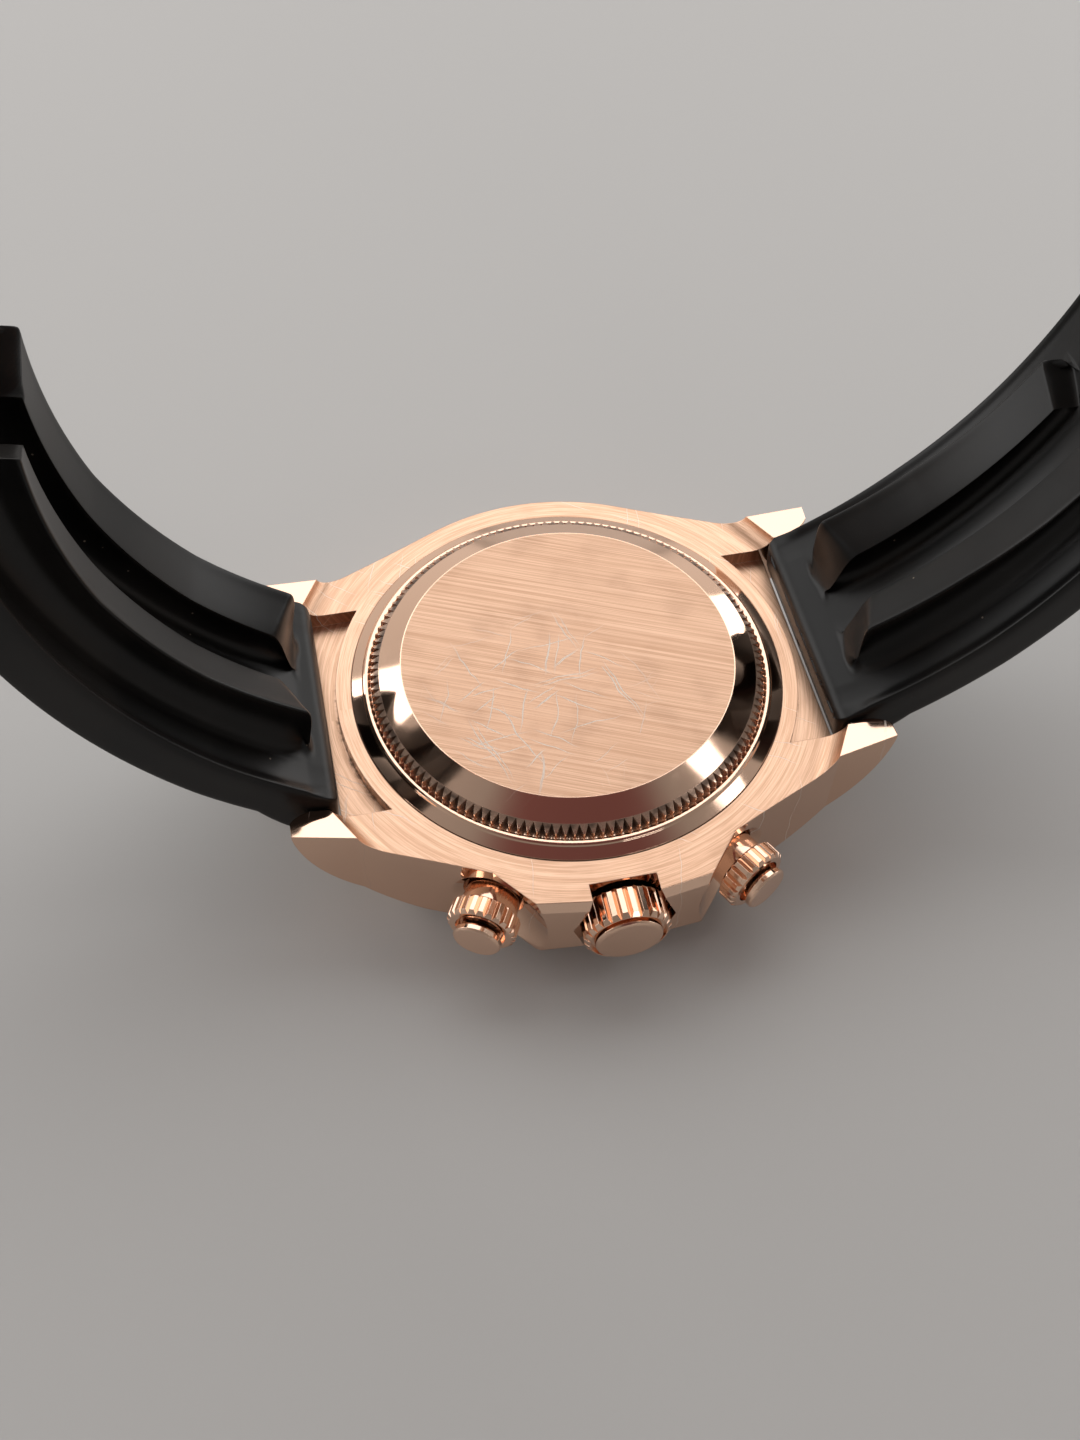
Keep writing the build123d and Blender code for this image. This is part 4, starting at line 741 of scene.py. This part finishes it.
# control points of the half section of each row, from the middle of the channel to the foot of the flange:
# distance from the middle, height over the wrist side before the gate, and place across the fin. Walls are
# undercut, and where there is no fin (gate 0) the points spread out evenly on the flat base
def finControl(half, length):
    inner, outer = strap["channelHalf"], strap["finEdge"]
    tall = np.interp(length, half["tops"][0], half["tops"][1])
    taller = np.interp(length, half["tops"][0], half["tops"][2])
    shape = [  # distance, share of height, 0 at the channel side and 1 at the outer side
        (0.0, 0.0, 0.0), (inner * 0.40, 0.0, 0.0), (inner * 0.72, 0.02, 0.0), (inner + 0.25, 0.13, 0.0),
        (inner + 0.62, 0.36, 0.0), (inner + 0.68, 0.62, 0.0), (inner + 0.42, 0.84, 0.0),
        (inner + 0.06, 0.96, 0.0), (inner, 0.99, 0.0), (inner + 0.12, 1.0, 0.03), (inner + 0.9, 1.0, 0.25),
        ((inner + outer) / 2, 1.0, 0.5), (outer - 0.9, 1.0, 0.75), (outer - 0.2, 1.0, 0.95),
        (outer, 0.97, 1.0), (outer - 0.06, 0.92, 1.0), (outer - 0.45, 0.74, 1.0), (outer - 0.75, 0.48, 1.0),
        (outer - 0.5, 0.24, 1.0), (outer + 0.1, 0.08, 1.0), (outer + 0.9, 0.0, 1.0)]
    share = np.array([row[1] for row in shape])[None]
    across = np.array([row[2] for row in shape])[None]
    height = share * (tall[:, None] * (1 - across) + taller[:, None] * across)
    plain = np.linspace(0, outer + 0.9, len(shape))[None]
    spread = smoothStep(finGate(half, length, across).max(1) / 0.35)[:, None]
    distance = plain * (1 - spread) + np.array([row[0] for row in shape])[None] * spread
    return np.stack([distance, height, np.broadcast_to(across, height.shape)], 2)


# The strap half is a loft of sections along its path, mirrored about the middle. Depths are shares of the way
# from the wrist side to the outer side, which drops round the spring bar at the lug in a cubic curve and
# closes in a half circle round the clasp bar
def strapSkin(name):
    half = strapHalves[name]
    thickness = strap["thickness"]
    noseStart = sum(radius * radians(turn) for radius, turn in half["arcs"]) - strap["noseBack"]
    first, last = half["finStart"][1], half["finEnd"][1]
    beforeFirst, afterFirst, beforeLast, afterLast = strap["finRows"]
    knots = [0, strap["edge"], first + beforeFirst, first + afterFirst, last + beforeLast, last + afterLast,
             noseStart]
    length = np.concatenate([np.linspace(a, b, n, endpoint=False)
                             for a, b, n in zip(knots, knots[1:], strap["rows"])] + [[noseStart]])
    x, z, heading = strapCurve(half, length)
    normal = np.stack([-np.sin(heading), np.cos(heading)], 1)
    top = np.stack([x, z], 1)
    # the wrist side leans over the seam at the lug
    top[:, 0] -= (1 - smoothStep(length / strap["overhangRun"])) * strap["overhang"]
    bottom = np.stack([x, z], 1) - normal * thickness
    joinX, joinZ, joinTurn = strapCurve(half, np.array([strap["headLength"]]))
    join = np.array([joinX[0] + thickness * sin(joinTurn[0]), joinZ[0] - thickness * cos(joinTurn[0])])
    t = np.clip(length / strap["headLength"], 0, 1)[:, None]
    corners = [np.array(corner) for corner in strap["underside"]] + [join]
    curve = ((1 - t) ** 3 * corners[0] + 3 * (1 - t) ** 2 * t * corners[1] + 3 * (1 - t) * t ** 2 * corners[2]
             + t ** 3 * corners[3])
    bottom = np.where(length[:, None] < strap["headLength"], curve, bottom)
    turn = np.linspace(0, pi / 2, strap["noseRows"])[1:]
    forward = np.array([cos(heading[-1]), sin(heading[-1])])
    radius = thickness / 2
    middle = (top[-1] + bottom[-1]) / 2
    noseTop = (middle + np.outer(np.sin(turn), forward) * radius
               + np.outer(np.cos(turn), normal[-1]) * radius)
    noseBottom = (middle + np.outer(np.sin(turn), forward) * radius
                  - np.outer(np.cos(turn), normal[-1]) * radius)
    top, bottom = np.vstack([top, noseTop]), np.vstack([bottom, noseBottom])
    normal = np.vstack([normal, np.repeat(normal[-1:], len(turn), 0)])
    length = np.concatenate([length, noseStart + np.sin(turn) * radius])
    halfWidth = np.interp(top[:, 1], strap["taper"], (strap["halfAtLug"], strap["halfAtClasp"]))
    nose = np.clip((length - noseStart) / radius, 0, 1)
    halfWidth = halfWidth - strap["noseNarrowing"] * (1 - np.sqrt(1 - nose ** 2 * 0.98))
    endEase = 1 - np.sqrt(1 - (1 - np.clip(length / strap["edge"], 0, 1)) ** 2)      # 1 at the very end
    fin = smoothRows(finControl(half, length), strap["sectionPoints"][0])
    fin[:, :, 1] *= finGate(half, length, np.clip(fin[:, :, 2], 0, 1))
    # flange with its hollow and soft rim, rounded edges, side and outer side: (share of width, height)
    outline = np.array([(0.0, 0.0), (0.3, -0.012), (0.6, -0.008), (0.86, 0.03), (0.95, 0.02), (0.988, -0.06),
                        (1.0, -0.22), (1.0, -0.5), (1.0, -0.78), (0.99, -0.9), (0.955, -0.975), (0.90, -1.0),
                        (0.6, -1.0), (0.3, -1.0), (0.0, -1.0)])
    flange = smoothRows(outline[None], strap["sectionPoints"][1])[0, 1:]
    y = np.zeros((len(length), fin.shape[1] + len(flange)))
    height, depth = np.zeros_like(y), np.zeros_like(y)
    y[:, :fin.shape[1]] = fin[:, :, 0]
    height[:, :fin.shape[1]] = fin[:, :, 1]
    foot = fin[:, -1:, 0]
    under = flange[:, 1] <= -0.95
    y[:, fin.shape[1]:] = np.where(under, flange[:, 0] * halfWidth[:, None],
                                   foot + (halfWidth[:, None] - foot) * flange[:, 0])
    depth[:, fin.shape[1]:] = -np.minimum(flange[:, 1], 0)
    rim = smoothStep((length - strap["rimRun"][0]) / strap["rimRun"][1])[:, None]
    height[:, fin.shape[1]:] = np.maximum(flange[:, 1], 0) * thickness * strap["rimHeight"] * rim
    thick = np.maximum(np.linalg.norm(top - bottom, axis=1), 0.01)
    inset = (endEase * strap["edge"])[:, None]
    depth = depth * (1 - 2 * inset / thick[:, None]) + inset / thick[:, None]
    y = y - inset * np.clip((y - 1) / 4, 0, 1)
    point = (top[:, None, :] + (bottom - top)[:, None, :] * depth[:, :, None]
             + normal[:, None, :] * height[:, :, None])
    side = half["side"]
    right = np.stack([side * point[:, :, 0], y, point[:, :, 1]], 2)
    ring = np.concatenate([right, right[:, -2:0:-1, :] * np.array([1, -1, 1])], 1)
    rows, columns = ring.shape[:2]
    index = np.arange(rows * columns).reshape(rows, columns)
    following = np.roll(index, -1, 1)
    quads = np.stack([index[:-1], following[:-1], following[1:], index[1:]], 2).reshape(-1, 4)
    # the end is closed by strips between the wrist side and the outer side
    halfCount = columns // 2
    near, far = index[0, 1:halfCount], index[0, -1:halfCount:-1]
    cap = np.stack([near[1:], near[:-1], far[:-1], far[1:]], 1)
    tips = [[int(near[0]), int(index[0, 0]), int(far[0])],
            [int(far[-1]), int(index[0, halfCount]), int(near[-1])]]
    faces = quads.tolist() + cap.tolist() + tips
    if side > 0:
        faces = [face[::-1] for face in faces]
    piece = makePiece(name + "_skin", ring.reshape(-1, 3) * mm, faces, strapRubber, name)
    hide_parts(name)


for name in strapHalves:
    strapSkin(name)
print("strap halves made")

printing = {
    "proud": 0.012,                   # mm
    "scaleRadius": (16.75, 18.25),    # inner and outer edge of the numbers' band on the bezel
    "scaleNumbers": [60, 65, 70, 75, 80, 85, 90, 100, 110, 120, 130, 140, 150, 160, 180, 200, 240, 300, 400],
    "scaleText": 0.95,
    "scaleTextOut": 0.06,             # the numbers sit this far out of the band's middle
    "scaleTicks": (0.16, 0.28, 0.05),     # short and long ticks, and their width
    "scaleTickStart": -0.14,          # from the band's inner edge
    "bezelCone": (0.3, 16.5, 0.21),   # height at a radius, and slope
    "dialTrack": (13.15, 13.75),
    # where a tick starts, as a share of the track, and its width
    "dialTicks": {"five": (0, 0.09), "minute": (0.45, 0.05), "fine": (0.7, 0.04)},
    "dialZ": 3.6,
    "subDialZ": 3.72,
    "subDials": {"minuteCounter": ((0, -7.5), [10, 20, 30], 30), "hourCounter": ((0, 7.5), [3, 6, 9, 12], 12),
                 "runningSeconds": ((7.5, 0), [20, 40, 60], 60)},
    "subText": 0.75,
    "subRadius": 2.35,
    "subTickRadius": 3.1,
    "subTicks": (0.25, 0.42, 0.06),   # short and long ticks, and their width
}


# points and faces of centred text, flat, with its letters' size in mm
def textShape(words, size):
    curve = bpy.data.curves.new("words", "FONT")
    curve.body, curve.size = words, size
    curve.align_x, curve.align_y = "CENTER", "CENTER"
    curve.resolution_u = 3
    curve.offset = size * 0.008
    holder = bpy.data.objects.new("words", curve)
    mesh = bpy.data.meshes.new_from_object(holder)
    points = np.empty(len(mesh.vertices) * 3)
    mesh.vertices.foreach_get("co", points)
    faces = [list(face.vertices) for face in mesh.polygons]
    for data, store in ((holder, bpy.data.objects), (mesh, bpy.data.meshes), (curve, bpy.data.curves)):
        store.remove(data)
    return points.reshape(-1, 3)[:, :2], faces


# tick mark: a quad between two radii, of a width
def tickShape(inner, outer, width):
    return np.array([(-width / 2, inner), (width / 2, inner), (width / 2, outer),
                     (-width / 2, outer)]), [[0, 1, 2, 3]]


# Flat shapes wrapped round a centre: across runs clockwise as the wearer reads it, up runs outward, so
# x = cx - r cos(turn + across / r) and y = cy - r sin(turn + across / r), with r = radius + up.
# The height is a function of r
def wrapShapes(shapes, centre, heightOf):
    allPoints, allFaces, count = [], [], 0
    for (points, faces), turn, radius in shapes:
        r = radius + points[:, 1]
        angle = radians(turn) + points[:, 0] / np.maximum(r, 0.5)
        allPoints.append(np.stack([centre[0] - r * np.cos(angle), centre[1] - r * np.sin(angle),
                                   heightOf(r)], 1))
        allFaces += [[corner + count for corner in face] for face in faces]
        count += len(points)
    return np.concatenate(allPoints), allFaces


# upright text at a place on the dial: across runs towards 3 o'clock and up towards 12
def uprightText(words, size, centre, turn, radius):
    points, faces = textShape(words, size)
    x = centre[0] - radius * cos(radians(turn)) - points[:, 1]
    y = centre[1] - radius * sin(radians(turn)) - points[:, 0]
    return np.stack([x, y], 1), faces


def printOn(name, points, faces, material):
    piece = makePiece(name, points * mm, faces, material, "case", smooth=False)


# paint for the printed scales, slightly uneven
def paintMaterial(name, colour, pale):
    material, tree, shader, place = newMaterial(name)
    uneven = mixColours(tree, noiseAt(tree, place, 2.0), colour, pale)
    fill(tree, shader, {"Base Color": uneven,
                        "Roughness": addShare(tree, 0.3, noiseAt(tree, place, 6.0), 0.2)})
    return material


scalePaint = paintMaterial("scalePaint", (0.78, 0.58, 0.46, 1), (0.86, 0.68, 0.56, 1))
dialPaint = paintMaterial("dialPaint", (0.66, 0.62, 0.58, 1), (0.78, 0.75, 0.71, 1))


# speed scale of the bezel: a number v stands 3600 / v seconds round from 12 o'clock, at 6 degrees a second
def bezelScale():
    inner, outer = printing["scaleRadius"]
    short, long, width = printing["scaleTicks"]
    shapes = []
    for number in printing["scaleNumbers"]:
        shapes.append((textShape(str(number), printing["scaleText"]), 6 * 3600 / number,
                       (inner + outer) / 2 + printing["scaleTextOut"]))
    for number in [*range(60, 100), *range(100, 205, 5)]:
        length = long if number % (5 if number < 100 else 10) == 0 else short
        shapes.append((tickShape(0, length, width), 6 * 3600 / number, inner + printing["scaleTickStart"]))
    height, coneRadius, slope = printing["bezelCone"]
    points, faces = wrapShapes(shapes, (0, 0),
                               lambda r: height + (r - coneRadius) * slope - printing["proud"])
    printOn("bezel_scale", points, faces, scalePaint)


# minute ticks, and the three small scales with their numbers
def dialPrint():
    inner, outer = printing["dialTrack"]
    band = outer - inner
    shapes = []
    for step in range(60):
        start, width = printing["dialTicks"]["five" if step % 5 == 0 else "minute"]
        shapes.append((tickShape(band * start, band, width), step * 6, inner))
    start, width = printing["dialTicks"]["fine"]
    shapes += [(tickShape(band * start, band, width), step * 1.2, inner) for step in range(300)]
    points, faces = wrapShapes(shapes, (0, 0),
                               lambda r: np.full_like(r, printing["dialZ"] - printing["proud"]))
    printOn("dial_track", points, faces, dialPaint)
    subZ = printing["subDialZ"] - printing["proud"]
    short, long, width = printing["subTicks"]
    for name, (centre, numbers, steps) in printing["subDials"].items():
        ticks = [(tickShape(0, long if step * len(numbers) % steps == 0 else short, width),
                  step * 360 / steps, printing["subTickRadius"]) for step in range(steps)]
        points, faces = wrapShapes(ticks, centre, lambda r: np.full_like(r, subZ))
        for number in numbers:
            flat, corners = uprightText(str(number), printing["subText"], centre, 360 * number / numbers[-1],
                                        printing["subRadius"])
            faces += [[corner + len(points) for corner in face] for face in corners]
            points = np.vstack([points, np.column_stack([flat, np.full(len(flat), subZ)])])
        printOn(name + "_print", points, faces, dialPaint)


bezelScale()
dialPrint()
print("scales printed")
